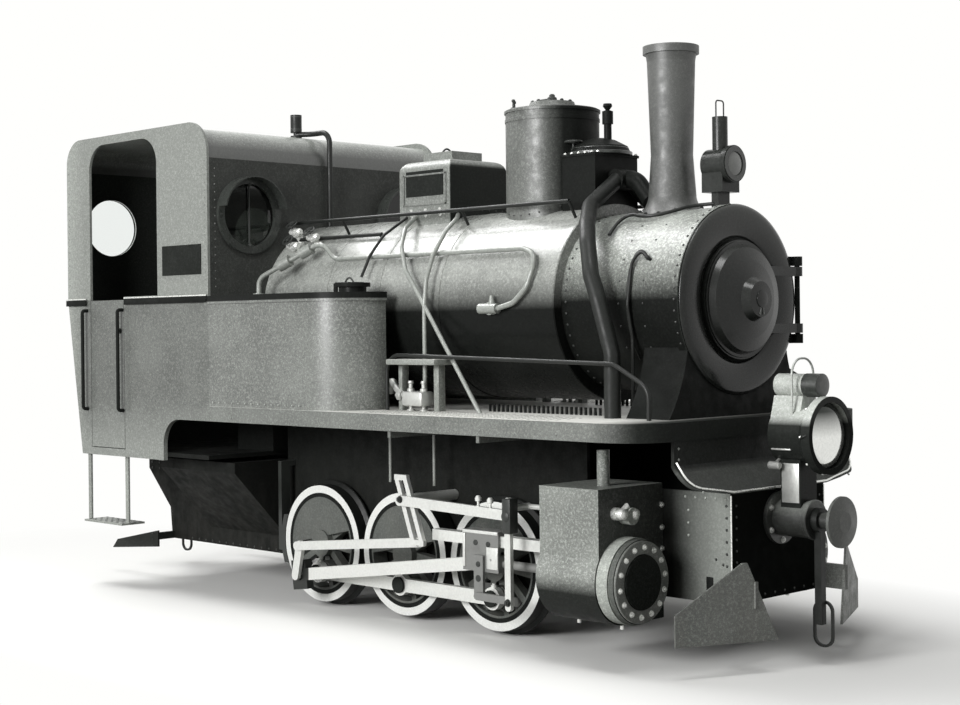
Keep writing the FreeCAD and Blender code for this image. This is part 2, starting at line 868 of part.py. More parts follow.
def side_tanks():
    shape = tank_outline(0)
    block = plate("tank_block", "flat", shape, S.belt_height - S.board_top, (0, 0, rise(S.board_top)),
                  [(S.tank_corner, [shape[1]])])
    edge = tank_outline(S.band_proud)
    strip = plate("tank_strip", "flat", edge, S.tank_strip, (0, 0, rise(S.belt_height) - S.tank_strip),
                  [(S.tank_corner + S.band_proud, [edge[1]])])
    neck = rod("tank_neck", S.tank_lid_radius - S.tank_lid_thick, S.tank_neck,
               (fore(S.tank_lid_x), -S.tank_lid_across, rise(S.belt_height)))
    right = node("side_tank_right", joined("tank_right", [block, strip, neck] + lid_lugs()))
    node("side_tank_left", mirrored("tank_left", right))


def lid_axis():
    """The near lid's hinge line, as (x, z)."""
    return (fore(S.tank_lid_x) - S.tank_lid_radius - 2 * S.lid_hinge_radius,
            rise(S.belt_height) + S.tank_neck + S.running_gap + S.tank_lid_thick / 2)


def lid_lugs():
    """The two lugs and the pin on the tank that carry the near lid."""
    x, z = lid_axis()
    r = S.lid_hinge_radius
    near = 2 * r + S.running_gap
    parts = [rod("lid_pin", r / 2, 2 * (near + r), (x, -S.tank_lid_across - near - r, z), "y")]
    for label, y in (("outer", -near - r), ("inner", near)):
        parts.append(box("lid_lug_" + label, (3 * r, r, z - rise(S.belt_height) + r),
                         (x - 3 * r / 2, y - S.tank_lid_across, rise(S.belt_height))))
    return parts


def tank_lids():
    low = rise(S.belt_height) + S.tank_neck
    x = fore(S.tank_lid_x)
    y = -S.tank_lid_across
    lid = rod("lid_disc", S.tank_lid_radius, S.tank_lid_thick, (x, y, low + S.running_gap))
    tongue = box("lid_tongue", (S.tank_lid_radius + 3 * S.lid_hinge_radius, 4 * S.lid_hinge_radius, S.tank_lid_thick),
                 (x - S.tank_lid_radius - 3 * S.lid_hinge_radius, y - 2 * S.lid_hinge_radius,
                  low + S.running_gap))
    hinge_x, hinge_z = lid_axis()
    bore = rod("lid_bore", S.lid_hinge_radius / 2 + S.running_gap, 8 * S.lid_hinge_radius,
               (hinge_x, y - 4 * S.lid_hinge_radius, hinge_z), "y")
    right = node("tank_lid_right", cut("lid_bored", joined("lid_parts", [lid, tongue]), [bore]))
    node("tank_lid_left", mirrored("lid_left", right))


def cab_side_shape():
    top = rise(S.eave_height)
    low = rise(S.skirt_low)
    return [
        (fore(S.cab_rear), top),
        (fore(S.cab_rear), rise(S.belt_height)),
        (fore(S.cab_rear_foot), low),
        (fore(S.skirt_front), low),
        (fore(S.skirt_front), rise(S.board_low)),
        (fore(S.cab_front), rise(S.board_low)),
        (fore(S.cab_front), top),
    ]


def cab_sides():
    shape = cab_side_shape()
    sheet_plate = plate("cab_sheet", "side", shape, S.cab_wall, (0, -board_edge, 0), [
        (S.cab_rear_round, [shape[0]]),
        (S.skirt_round, [shape[4]]),
        (S.cab_front_round, [shape[6]]),
    ])
    belt = rise(S.belt_height)
    top = rise(S.eave_height) - S.doorway_drop
    opening = [
        (fore(S.doorway_rear), belt + S.belt_band),
        (fore(S.doorway_front), belt + S.belt_band),
        (fore(S.doorway_front), top),
        (fore(S.doorway_rear), top),
    ]
    thick = S.cab_wall + 2 * S.overrun
    window = plate("cab_opening", "side", opening, thick, (0, -board_edge - S.overrun, 0),
                   [(S.doorway_round, opening[2:])])
    doorway = box("cab_doorway", (S.door_front - S.doorway_rear, thick, S.belt_height - S.floor_height + S.overrun),
                  (fore(S.doorway_rear), -board_edge - S.overrun, rise(S.floor_height)))
    opened = cut("cab_side_cut", sheet_plate, [window, doorway])
    right = node("cab_side_right", joined("cab_side_near", [opened, skirt_band()] + door_pins()))
    node("cab_side_left", mirrored("cab_side_far", right))


def skirt_band():
    """The board's edge strip carried on along the cab side and down the front of its skirt."""
    shape = [
        (fore(S.cab_front), rise(S.board_top)),
        (fore(S.skirt_front) - S.skirt_strip, rise(S.board_top)),
        (fore(S.skirt_front) - S.skirt_strip, rise(S.skirt_low)),
        (fore(S.skirt_front), rise(S.skirt_low)),
        (fore(S.skirt_front), rise(S.board_low)),
        (fore(S.cab_front), rise(S.board_low)),
    ]
    return plate("skirt_band", "side", shape, S.band_proud, (0, -board_edge - S.band_proud, 0), [
        (S.skirt_round, [shape[4]]),
        (S.skirt_round + S.skirt_strip, [shape[1]]),
    ])


def door_axis():
    """The near door's hinge line, inside the cab at the doorway's rear edge."""
    return fore(S.doorway_rear) + S.door_gap / 2, -(board_edge - S.cab_wall) + S.door_hinge_radius


def hinge_levels():
    third = (S.belt_height - S.floor_height) / 5
    return {"low": rise(S.floor_height) + third, "high": rise(S.belt_height) - third - S.door_knuckle}


def cab_doors():
    gap = S.door_gap
    x, y = door_axis()
    parts = [box("door_leaf", (S.door_front - S.doorway_rear - 2 * gap, S.cab_wall,
                               S.belt_height - S.floor_height - 2 * gap),
                 (fore(S.doorway_rear) + gap, -board_edge, rise(S.floor_height) + gap))]
    bores = []
    for label, z in hinge_levels().items():
        parts.append(rod("door_eye_" + label, S.door_hinge_radius, S.door_knuckle, (x, y, z)))
        parts.append(box("door_strap_" + label, (4 * S.door_hinge_radius, S.door_hinge_radius, S.door_knuckle),
                         (x, -(board_edge - S.cab_wall), z)))
        bores.append(rod("door_bore_" + label, S.door_pin + S.running_gap, 3 * S.door_knuckle,
                         (x, y, z - S.door_knuckle)))
    right = node("cab_door_right", cut("door_bored_near", joined("door_parts_near", parts), bores))
    node("cab_door_left", mirrored("door_far", right))


def door_pins():
    """The pins and brackets on the side sheet that carry the near door."""
    x, y = door_axis()
    parts = []
    tall = S.door_knuckle
    for label, z in hinge_levels().items():
        parts.append(rod("door_pin_" + label, S.door_pin, 2 * tall, (x, y, z - tall / 2)))
        for end, base in (("under", z - tall / 2 - S.running_gap), ("over", z + tall + S.running_gap)):
            parts.append(box("door_bracket_%s_%s" % (label, end),
                             (4 * S.door_hinge_radius, S.door_hinge_radius + S.door_pin, tall / 2),
                             (x - 4 * S.door_hinge_radius + S.door_pin, -(board_edge - S.cab_wall), base)))
    return parts


def cab_front():
    inner = board_edge - S.cab_wall
    low = rise(S.board_top)
    top = S.eave_height - S.roof_drop - S.cab_front_round
    wall = box("front_wall", (S.cab_wall, 2 * inner, top - S.board_top), (fore(S.cab_front) - S.cab_wall, -inner, low))
    holes = [rod("front_hole_" + side, window_radius, S.cab_wall + 2 * S.overrun,
                 (fore(S.cab_front) - S.cab_wall - S.overrun, SIDES[side] * S.front_window_across,
                  rise(window_height)), "x") for side in SIDES]
    node("cab_front", cut("cab_front_cut", wall, holes))
    rims = [window_rim(side) for side in SIDES]
    node("window_rims", joined("front_rims", rims))
    panes = [rod("pane_" + side, window_radius - S.running_gap, S.glass_plate,
                 (fore(S.cab_front) - S.cab_wall / 2, SIDES[side] * S.front_window_across,
                  rise(window_height)), "x") for side in SIDES]
    panes += [rod("rear_pane_" + side, window_radius - S.running_gap, S.glass_plate,
                  (fore(S.cab_rear) + S.cab_wall / 2, SIDES[side] * S.rear_window_across,
                   rise(window_height)), "x") for side in SIDES]
    node("window_glass", joined("panes", panes))


def window_rim(side):
    x = fore(S.cab_front)
    y = SIDES[side] * S.front_window_across
    z = rise(window_height)
    outer = window_radius + S.window_rim
    ring = cut("rim_ring_" + side, rod("rim_outer_" + side, outer, S.window_rim_depth, (x, y, z), "x"),
               [rod("rim_inner_" + side, window_radius, S.window_rim_depth + 2 * S.overrun,
                    (x - S.overrun, y, z), "x")])
    hood = cut("hood_tube_" + side, rod("hood_outer_" + side, outer, S.window_hood_depth, (x, y, z), "x"),
               [rod("hood_inner_" + side, outer - S.window_hood_plate, S.window_hood_depth + 2 * S.overrun,
                    (x - S.overrun, y, z), "x"),
                box("hood_half_" + side, (S.window_hood_depth + 2 * S.overrun, 2 * outer, outer + S.window_rim),
                    (x - S.overrun, y - outer, z - outer))])
    return joined("rim_" + side, [ring, hood])


def cab_rear():
    inner = board_edge - S.cab_wall
    wall = S.cab_wall
    low = rise(S.skirt_low)
    top = rise(S.eave_height) - S.roof_drop - S.cab_rear_round
    shape = [
        (fore(S.cab_rear), top),
        (fore(S.cab_rear), rise(S.belt_height)),
        (fore(S.cab_rear_foot), low),
        (fore(S.cab_rear_foot) + wall, low),
        (fore(S.cab_rear) + wall, rise(S.belt_height)),
        (fore(S.cab_rear) + wall, top),
    ]
    sheet_plate = plate("rear_sheet", "side", shape, 2 * inner, (0, -inner, 0))
    holes = [rod("rear_hole_" + side, window_radius, wall + 2 * S.overrun,
                 (fore(S.cab_rear) - S.overrun, SIDES[side] * S.rear_window_across,
                  rise(window_height)), "x") for side in SIDES]
    node("cab_rear", cut("cab_rear_cut", sheet_plate, holes))


def cab_roof():
    """A flat sheet set between the side sheets and rolled down into the end walls."""
    wall = S.cab_wall
    inner = board_edge - wall
    top = rise(S.eave_height) - S.roof_drop
    front = fore(S.cab_front)
    rear = fore(S.cab_rear)
    front_roll = S.cab_front_round
    rear_roll = S.cab_rear_round
    shape = [
        (front, top - front_roll, front_roll),
        (front - front_roll, top),
        (rear + rear_roll, top, rear_roll),
        (rear, top - rear_roll),
        (rear + wall, top - rear_roll, wall - rear_roll),
        (rear + rear_roll, top - wall),
        (front - front_roll, top - wall, wall - front_roll),
        (front - wall, top - front_roll),
    ]
    node("cab_roof", plate("cab_roof", "side", shape, 2 * inner, (0, -inner, 0)))


def blank_plates():
    """The bare plates on the cab sides and on the sandbox sides."""
    thick = S.blank_thick
    cab = box("cab_blank", (S.blank_length, thick, S.blank_height),
              (fore(S.blank_rear), -board_edge - thick, rise(S.belt_height) + S.blank_rise))
    sand = box("sand_blank", ((S.sandbox_front - S.sandbox_rear) * S.sand_blank_share, thick, S.sand_blank_height),
               (fore(S.sandbox_rear) + (S.sandbox_front - S.sandbox_rear) * (1 - S.sand_blank_share) / 2,
                -S.sandbox_half_width - thick, rise(S.sandbox_top) - S.sandbox_round - S.sand_blank_height))
    near = joined("blanks_near", [cab, sand])
    node("blank_plates", joined("blank_set", [near, mirrored("blanks_far", near)]))


def cab_floor():
    inner = board_edge - S.cab_wall
    node("cab_floor", box("floor", (S.cab_front - S.cab_wall - S.cab_rear_foot - 3 * S.cab_wall, 2 * inner,
                                    S.floor_plate),
                          (fore(S.cab_rear_foot) + 2 * S.cab_wall, -inner, rise(S.floor_height) - S.floor_plate)))


def backhead():
    length = S.backhead_length
    half = S.backhead_half_width
    low = rise(S.floor_height)
    shape = [(-half, low), (half, low), (half, rise(S.backhead_top)), (-half, rise(S.backhead_top))]
    node("backhead", plate("backhead", "front", shape, length,
                           (fore(S.cab_front) - S.cab_wall - length, 0, 0), [(half * 3 / 4, shape[2:])]))


def boiler():
    z = rise(S.boiler_height)
    node("boiler", rod("cladding", S.boiler_radius, S.boiler_front - S.cab_front, (fore(S.cab_front), 0, z), "x"))
    rim = S.smokebox_rim_width
    barrel = rod("smokebox_barrel", S.smokebox_radius, S.smokebox_front - S.boiler_front,
                 (fore(S.boiler_front), 0, z), "x")
    ring = rod("smokebox_ring", S.smokebox_radius + S.smokebox_rim, rim,
               (fore(S.smokebox_front) - rim, 0, z), "x")
    node("smokebox", joined("smokebox_parts", [barrel, ring, hinge_lugs()]))
    half = S.saddle_half_width
    top = rise(S.boiler_height) - S.smokebox_radius / 2
    shape = [
        (-half, rise(S.board_top)),
        (half, rise(S.board_top), -S.saddle_flare),
        (S.saddle_waist, top),
        (-S.saddle_waist, top, -S.saddle_flare),
    ]
    block = plate("saddle_block", "front", shape, S.smokebox_front - S.saddle_rear, (fore(S.saddle_rear), 0, 0))
    hollow = rod("saddle_hollow", S.smokebox_radius, S.smokebox_front, (fore(0), 0, z), "x")
    ring_hollow = rod("saddle_ring_hollow", S.smokebox_radius + S.smokebox_rim, 2 * rim,
                      (fore(S.smokebox_front) - rim, 0, z), "x")
    node("smokebox_saddle", cut("saddle_cut", block, [hollow, ring_hollow]))


def hinge_place():
    return S.smokebox_radius + S.smokebox_rim + S.door_pin_radius


def hinge_lugs():
    """Two lugs on the far side that hold the door's hinge pin."""
    y = hinge_place()
    z = rise(S.boiler_height)
    lugs = []
    tall = S.door_strap_height
    outside = S.door_strap_drop + tall / 2 + S.clearance
    for label, base in (("upper", z + outside), ("lower", z - outside - tall)):
        arm = box("lug_" + label, (3 * S.door_pin_radius, y - S.smokebox_radius / 2, tall),
                  (fore(S.smokebox_front) - 3 * S.door_pin_radius, S.smokebox_radius / 2, base))
        eye = rod("lug_eye_" + label, 2 * S.door_pin_radius, tall,
                  (fore(S.smokebox_front) + S.door_pin_radius, y, base))
        neck = box("lug_neck_" + label, (2 * S.door_pin_radius, 2 * S.door_pin_radius, tall),
                   (fore(S.smokebox_front) - S.door_pin_radius, y - S.door_pin_radius, base))
        lugs += [arm, eye, neck]
    pin = rod("hinge_pin", S.door_pin_radius, 2 * outside + 2 * tall,
              (fore(S.smokebox_front) + S.door_pin_radius, y, z - outside - tall))
    return joined("hinge_lugs", lugs + [pin])


def smokebox_door():
    front = fore(S.smokebox_front)
    base = S.door_seat_gap
    edge = S.door_edge
    dish = S.door_dish_depth
    rim = S.door_rim_radius
    knuckle = S.door_dish_radius
    boss = S.door_boss_radius
    shape = [
        (base, 0),
        (base, rim),
        (base + edge, rim),
        (base + edge, knuckle + edge),
        (base + edge + dish / 2, knuckle),
        (base + dish, knuckle * 3 / 4),
        (base + dish + edge, boss),
        (base + dish + S.door_boss_reach, boss * 4 / 5),
        (base + dish + S.door_boss_reach + edge / 2, 0),
    ]
    z = rise(S.boiler_height)
    face = turned("door_face", shape, (front, 0, z), "x")
    straps = []
    y = hinge_place()
    tall = S.door_strap_height
    for label, level in (("upper", S.door_strap_drop), ("lower", -S.door_strap_drop)):
        straps.append(box("strap_" + label, (S.door_strap_thick, y - rim / 2, tall),
                          (front + base + edge - S.door_strap_thick / 2, rim / 2, z + level - tall / 2)))
        straps.append(rod("strap_eye_" + label, 2 * S.door_pin_radius, tall,
                          (front + S.door_pin_radius, y, z + level - tall / 2)))
    whole = joined("door_parts", [face] + straps)
    bore = rod("door_bore", S.door_pin_radius + S.running_gap, 4 * S.door_strap_drop,
               (front + S.door_pin_radius, y, z - 2 * S.door_strap_drop))
    node("smokebox_door", cut("door_bored", whole, [bore]))


def chimney():
    foot = S.chimney_base_height
    top = S.chimney_top - S.chimney_foot + foot
    low = S.chimney_low_radius
    waist = S.chimney_waist_radius
    rim = S.chimney_rim_radius
    wall = S.chimney_rim_height / 3
    shape = [
        (0, S.chimney_bore),
        (0, S.chimney_base_radius),
        (foot / 4, S.chimney_base_radius),
        (foot, low + foot / 2, 2 * foot),
        (2 * foot, low),
        (top * 2 / 5, waist),
        (top - 2 * S.chimney_rim_height, low),
        (top - S.chimney_rim_height, low + wall / 2),
        (top - S.chimney_rim_height, rim),
        (top, rim),
        (top, S.chimney_bore + wall),
        (top * 2 / 5, S.chimney_bore),
    ]
    stack = turned("stack", shape, (fore(S.chimney_x), 0, rise(S.chimney_foot) - foot), "z")
    hollow = rod("stack_seat", S.smokebox_radius, 4 * S.chimney_base_radius,
                 (fore(S.chimney_x) - 2 * S.chimney_base_radius, 0, rise(S.boiler_height)), "x")
    node("chimney", cut("chimney_cut", stack, [hollow]))


def dome():
    radius = S.dome_radius
    low = S.dome_skirt
    lip = S.dome_lip
    shoulder = S.dome_shoulder - low
    crown = S.dome_crown - low
    shape = [
        (0, 0),
        (0, radius),
        (shoulder - 2 * lip, radius),
        (shoulder - 2 * lip, radius + lip),
        (shoulder, radius + lip),
        (shoulder + lip, radius - lip),
        (crown, S.dome_cover_radius),
        (S.dome_cover_top - low, S.dome_cover_radius - lip),
        (S.dome_cover_top - low, 0),
    ]
    barrel = turned("dome_barrel", shape, (fore(S.dome_x), 0, rise(low)), "z")
    hollow = rod("dome_seat", S.boiler_radius, S.boiler_front - S.cab_front,
                 (fore(S.cab_front), 0, rise(S.boiler_height)), "x")
    whole = joined("dome_parts", [barrel] + regulator())
    node("dome", cut("dome_cut", whole, [hollow, nodes["chimney"]]))


def regulator():
    """The regulator box in front of the dome, with its cap, safety valve and steam elbow."""
    rear = fore(S.regulator_rear)
    length = S.regulator_front - S.regulator_rear
    half = S.regulator_half
    lip = S.dome_lip
    top = rise(S.regulator_top)
    parts = [box("regulator_box", (length, 2 * half, S.regulator_top - S.regulator_low),
                 (rear, -half, rise(S.regulator_low)))]
    parts.append(box("regulator_flange", (length + 2 * lip, 2 * (half + lip), 2 * lip),
                     (rear - lip, -half - lip, top - 2 * lip)))
    high = S.regulator_cap
    cap = [(0, 0), (0, half), (high / 2, half * 7 / 8), (high * 7 / 8, half / 2), (high, half / 4), (high, 0)]
    parts.append(turned("regulator_cap", cap, (rear + length / 2, 0, top), "z"))
    thin = S.valve_neck_radius
    wide = S.valve_body_radius
    tall = S.valve_top - S.regulator_top
    column = [
        (0, 0),
        (0, thin),
        (tall * 3 / 5, thin),
        (tall * 3 / 5, wide),
        (tall * 17 / 20, wide),
        (tall * 7 / 8, thin / 2),
        (tall * 19 / 20, wide * 7 / 8),
        (tall, wide * 3 / 4),
        (tall, 0),
    ]
    parts.append(turned("valve_column", column, (rear + length * 3 / 4, 0, top), "z"))
    level = rise(S.elbow_height)
    reach = S.elbow_radius
    front = rear + length
    parts.append(rod("elbow_body", reach * 5 / 4, 3 * reach, (front + reach, -reach * 3 / 2, level), "y"))
    parts.append(pipe("steam_elbow", [
        (front - reach / 2, 0, level),
        (front + 3 * reach, 0, level),
        (fore(S.chimney_x) - S.chimney_low_radius - reach / 2, 0, rise(S.chimney_foot) + S.chimney_base_height),
    ], reach, reach * 2))
    return parts


def sandbox():
    half = S.sandbox_half_width
    top = rise(S.sandbox_top)
    low = rise(S.boiler_height)
    rear = fore(S.sandbox_rear)
    front = fore(S.sandbox_front)
    shape = [(-half, low), (half, low), (half, top), (-half, top)]
    block = plate("sand_block", "front", shape, front - rear, (rear, 0, 0), [(S.sandbox_round, shape[2:])])
    profile = [(rear, low), (front, low), (front, top), (rear, top)]
    rounded = plate("sand_profile", "side", profile, 2 * (half + S.overrun), (0, -half - S.overrun, 0),
                    [(S.sandbox_round, profile[2:])])
    shell = common("sand_shell", block, rounded)
    lid = S.sandbox_lid_half
    middle = rear + (front - rear) / 2
    cover = box("sand_lid", (2 * lid, 2 * lid, S.sandbox_lid_height), (middle - lid, -lid, top))
    hollow = rod("sand_seat", S.boiler_radius, S.boiler_front - S.cab_front,
                 (fore(S.cab_front), 0, rise(S.boiler_height)), "x")
    node("sandbox", cut("sandbox_cut", joined("sand_parts", [shell, cover]), [hollow]))


def whistle():
    roof = rise(S.eave_height) - S.roof_drop
    x = fore(S.cab_front) - S.cab_front_round - S.whistle_radius
    y = -S.whistle_across
    radius = S.whistle_pipe_radius
    tall = S.whistle_length
    bell = turned("whistle_bell", [
        (0, 0),
        (0, S.whistle_radius),
        (radius, S.whistle_radius),
        (radius, radius),
        (tall / 4, radius),
        (tall / 4, S.whistle_radius),
        (tall, S.whistle_radius),
        (tall, 0),
    ], (x, y, roof), "z")
    level = roof + radius * 3 / 2
    front = fore(S.cab_front) + 2 * radius
    tube = pipe("whistle_pipe", [
        (x, y, level),
        (x + S.cab_front_round / 2, -radius, level),
        (front, -radius, level),
        (front, -radius, rise(S.boiler_height) + S.boiler_radius),
    ], radius, S.cab_front_round * 3 / 4)
    node("whistle", joined("whistle_parts", [bell, tube]))


def round_boiler(x, radius, turn_share):
    """A near-side place round the boiler, a share of a right angle down from its top."""
    angle = math.radians(90) * turn_share
    return fore(x), -radius * math.sin(angle), rise(S.boiler_height) + radius * math.cos(angle)


def boiler_route(rear, front, radius, shares):
    """Places round the boiler; each step is (share of the way forward, share of a right angle)."""
    return [round_boiler(rear + (front - rear) * way, radius, turn) for way, turn in shares]


def steam_pipes():
    reach = S.boiler_radius + S.steam_pipe_radius + S.clearance
    rear = S.regulator_front + S.elbow_radius
    front = S.steam_pipe_front
    spots = [(fore(rear), -S.elbow_radius, rise(S.elbow_height))]
    spots += boiler_route(rear, front, reach, STEAM_PIPE_SHARES)
    spots.append((fore(front) + 2 * S.steam_pipe_radius, -reach, rise(S.boiler_height) - S.boiler_radius / 2))
    spots.append((fore(front) + 2 * S.steam_pipe_radius, -reach, rise(S.board_top)))
    right = pipe("steam_pipe_near", spots, S.steam_pipe_radius, S.pipe_bend)
    pair = joined("steam_pipe_pair", [right, mirrored("steam_pipe_far", right)])
    node("steam_pipes", cut("steam_pipe_ends", pair, [nodes["dome"]]))


def feed_pipes():
    """On each side the injector by the cab, its pipe along the boiler and the clack valve."""
    radius = S.feed_pipe_radius
    reach = S.boiler_radius + S.pipe_gap + radius
    thick = S.clack_radius
    lift = [
        (fore(S.cab_front) + 3 * thick, -(S.tank_inner + thick), rise(S.belt_height)),
        (fore(S.cab_front) + 3 * thick, -(S.tank_inner + thick), rise(S.belt_height) + 3 * thick),
        round_boiler(S.feed_pipe_rear - 3 * thick, reach + 2 * thick, INJECTOR_TURN_SHARE),
        round_boiler(S.feed_pipe_rear, reach, FEED_PIPE_SHARES[0][1]),
    ]
    route = lift + boiler_route(S.feed_pipe_rear, S.feed_pipe_front, reach, FEED_PIPE_SHARES)[1:]
    parts = [pipe("feed_pipe", route, radius, S.pipe_bend)]
    for label, share in (("low", 1), ("high", 2)):
        start = [lift[1][axis] + (lift[2][axis] - lift[1][axis]) * share / 3 for axis in range(3)]
        end = [lift[1][axis] + (lift[2][axis] - lift[1][axis]) * (share + 1 / 2) / 3 for axis in range(3)]
        parts.append(pipe("injector_body_" + label, [start, end], thick, thick))
    parts.append(rod("injector_flange", thick, radius, lift[0]))
    clack = boiler_route(S.feed_pipe_rear, S.feed_pipe_front, reach, FEED_PIPE_SHARES)[-1]
    length = S.clack_length
    parts.append(rod("clack_body", thick * 4 / 5, length, (clack[0] - length, clack[1], clack[2]), "x"))
    parts.append(rod("clack_foot", thick, thick + S.pipe_gap, (clack[0] - length / 2, clack[1], clack[2]), "y"))
    parts.append(cone("clack_cock", thick * 2 / 3, thick / 4, 2 * thick, (clack[0] - length / 3, clack[1], clack[2])))
    whole = joined("feed_near", parts)
    barrel = rod("feed_seat", S.boiler_radius, S.boiler_front - S.cab_front,
                 (fore(S.cab_front), 0, rise(S.boiler_height)), "x")
    near = cut("feed_trimmed", whole, [barrel])
    node("feed_pipes", joined("feed_set", [near, mirrored("feed_far", near)]))


def sand_pipes():
    radius = S.sand_pipe_radius
    reach = S.boiler_radius + 2 * (S.pipe_gap + S.feed_pipe_radius) + radius
    top = rise(S.sand_pipe_top)
    first = [(fore(S.sand_pipe_rear), -S.sandbox_half_width, top)]
    first += boiler_route(S.sand_pipe_rear, S.sand_pipe_front, reach, SAND_PIPE_SHARES)
    first.append((fore(S.sand_pipe_front), -reach, rise(S.board_top) - S.board_plate / 2))
    second_x = S.sandbox_front + S.sand_pipe_step
    second = [(fore(S.sandbox_front), -S.sandbox_half_width * 3 / 4, top)]
    second += boiler_route(second_x, second_x, reach, SAND_PIPE_TURN_SHARES)
    second.append((fore(second_x), -reach, rise(S.board_top)))
    parts = [pipe("sand_pipe_first", first, radius, S.pipe_bend)]
    parts.append(pipe("sand_pipe_second", second, radius, S.pipe_bend))
    low = axle_height + S.tread_radius + S.flange_height + S.pipe_bend / 3
    for label, x in (("rear", -S.axle_spacing / 8), ("front", S.axle_spacing * 3 / 8)):
        parts.append(rod("sand_drop_" + label, radius * 3 / 4, rise(S.board_top) - S.board_plate - low,
                         (fore(x), -(wheel_face + radius), low)))
    near = cut("sand_near", joined("sand_routes", parts), [nodes["sandbox"], nodes["running_board"]])
    node("sand_pipes", joined("sand_set", [near, mirrored("sand_far", near)]))


def boiler_rods():
    """Hand rail, lever rods, lower rail and smokebox pipe on each side of the boiler."""
    radius = S.rail_radius
    far = S.boiler_radius + S.rail_stand
    near_reach = S.boiler_radius + S.pipe_gap + radius
    middle_reach = S.boiler_radius + 2 * (S.pipe_gap + S.feed_pipe_radius) + radius / 2
    turn = RAIL_TURN_SHARE
    front = S.regulator_front - S.rail_stand / 2
    parts = [pipe("upper_rail", [round_boiler(S.cab_front, far, turn), round_boiler(front, far, turn)], radius, radius)]
    for index, x in enumerate((S.cab_front + S.boiler_radius, S.sandbox_front + S.pipe_bend * 2, front)):
        parts.append(pipe("upper_post%d" % index, [round_boiler(x, S.boiler_radius, turn),
                                                   round_boiler(x, far, turn)], radius * 3 / 4, radius))
    turn = ROD_TURN_SHARE
    end = S.sandbox_rear - S.rail_stand / 3
    parts.append(pipe("reach_rod", [round_boiler(S.cab_front, near_reach, turn),
                                    round_boiler(end, near_reach, turn)], radius, radius))
    parts.append(pipe("reach_post", [round_boiler(end - radius, S.boiler_radius, turn),
                                     round_boiler(end - radius, near_reach, turn)], radius, radius))
    lever = [(fore(S.sandbox_rear) + S.sandbox_round, -S.sandbox_half_width, rise(S.sand_pipe_top))]
    lever += boiler_route(S.sandbox_rear + S.sandbox_round, S.sandbox_rear + S.sandbox_round / 2,
                          middle_reach, LEVER_SHARES)
    parts.append(pipe("sand_lever", lever, radius * 3 / 4, S.pipe_bend))
    y = -(S.tank_inner + S.handrail_stand)
    level = rise(S.board_top) + S.lower_rail_height
    last = S.smokebox_front - S.rail_stand / 2
    parts.append(pipe("lower_rail", [
        (fore(S.tank_front) + S.rail_stand / 2, y, rise(S.board_top)),
        (fore(S.tank_front) + S.rail_stand / 2, y, level),
        (fore(S.saddle_rear), y, level - S.handrail_stand),
        (fore(last), y, level - S.lower_rail_height / 2),
        (fore(last), y, rise(S.board_top)),
    ], radius, S.pipe_bend))
    reach = S.smokebox_radius + S.pipe_gap + radius
    x = S.saddle_rear - S.handrail_stand
    hook = [round_boiler(x + S.pipe_bend, S.smokebox_radius, HOOK_TURN_SHARES[0])]
    hook.append(round_boiler(x + S.pipe_bend, reach, HOOK_TURN_SHARES[0]))
    hook += [round_boiler(x + S.pipe_bend / 3, reach, HOOK_TURN_SHARES[1])]
    hook += [round_boiler(x, reach, turn) for turn in HOOK_TURN_SHARES[2:]]
    hook.append((hook[-1][0], hook[-1][1], rise(S.board_top)))
    parts.append(pipe("smokebox_pipe", hook, radius * 3 / 4, S.pipe_bend))
    near = cut("rods_near", joined("rod_routes", parts), [nodes["sandbox"], nodes["running_board"]])
    node("boiler_rods", joined("rod_set", [near, mirrored("rods_far", near)]))


def brake_gear():
    """Behind each rear wheel a hanger on the frame with a shoe close to the tread."""
    x = axle_places["rear"]
    z = axle_height
    gap = 2 * S.clearance
    inner = S.back_to_back / 2 + S.flange_thickness + S.clearance
    width = wheel_face - S.clearance - inner
    outer = S.tread_radius + gap + S.shoe_thick
    half = S.shoe_half_height
    ring = cut("shoe_ring", rod("shoe_outer", outer, width, (x, -inner - width, z), "y"),
               [rod("shoe_inner", S.tread_radius + gap, width + 2 * S.overrun, (x, -inner - width - S.overrun, z), "y")])
    window = box("shoe_window", (outer, width + 2 * S.overrun, 2 * half),
                 (x - outer - S.overrun, -inner - width - S.overrun, z - half))
    shoe = common("brake_shoe", ring, window)
    bar = S.hanger_width
    back = x - outer - bar + S.clearance
    high = rise(S.frame_top)
    hanger = box("brake_hanger", (bar, width, high - z + half / 2), (back, -inner - width, z - half / 2))
    arm = box("brake_arm", (bar, inner + width - S.frame_half_width, bar), (back, -inner - width, high - bar))
    near = joined("brake_near", [shoe, hanger, arm])
    node("brake_gear", joined("brake_set", [near, mirrored("brake_far", near)]))


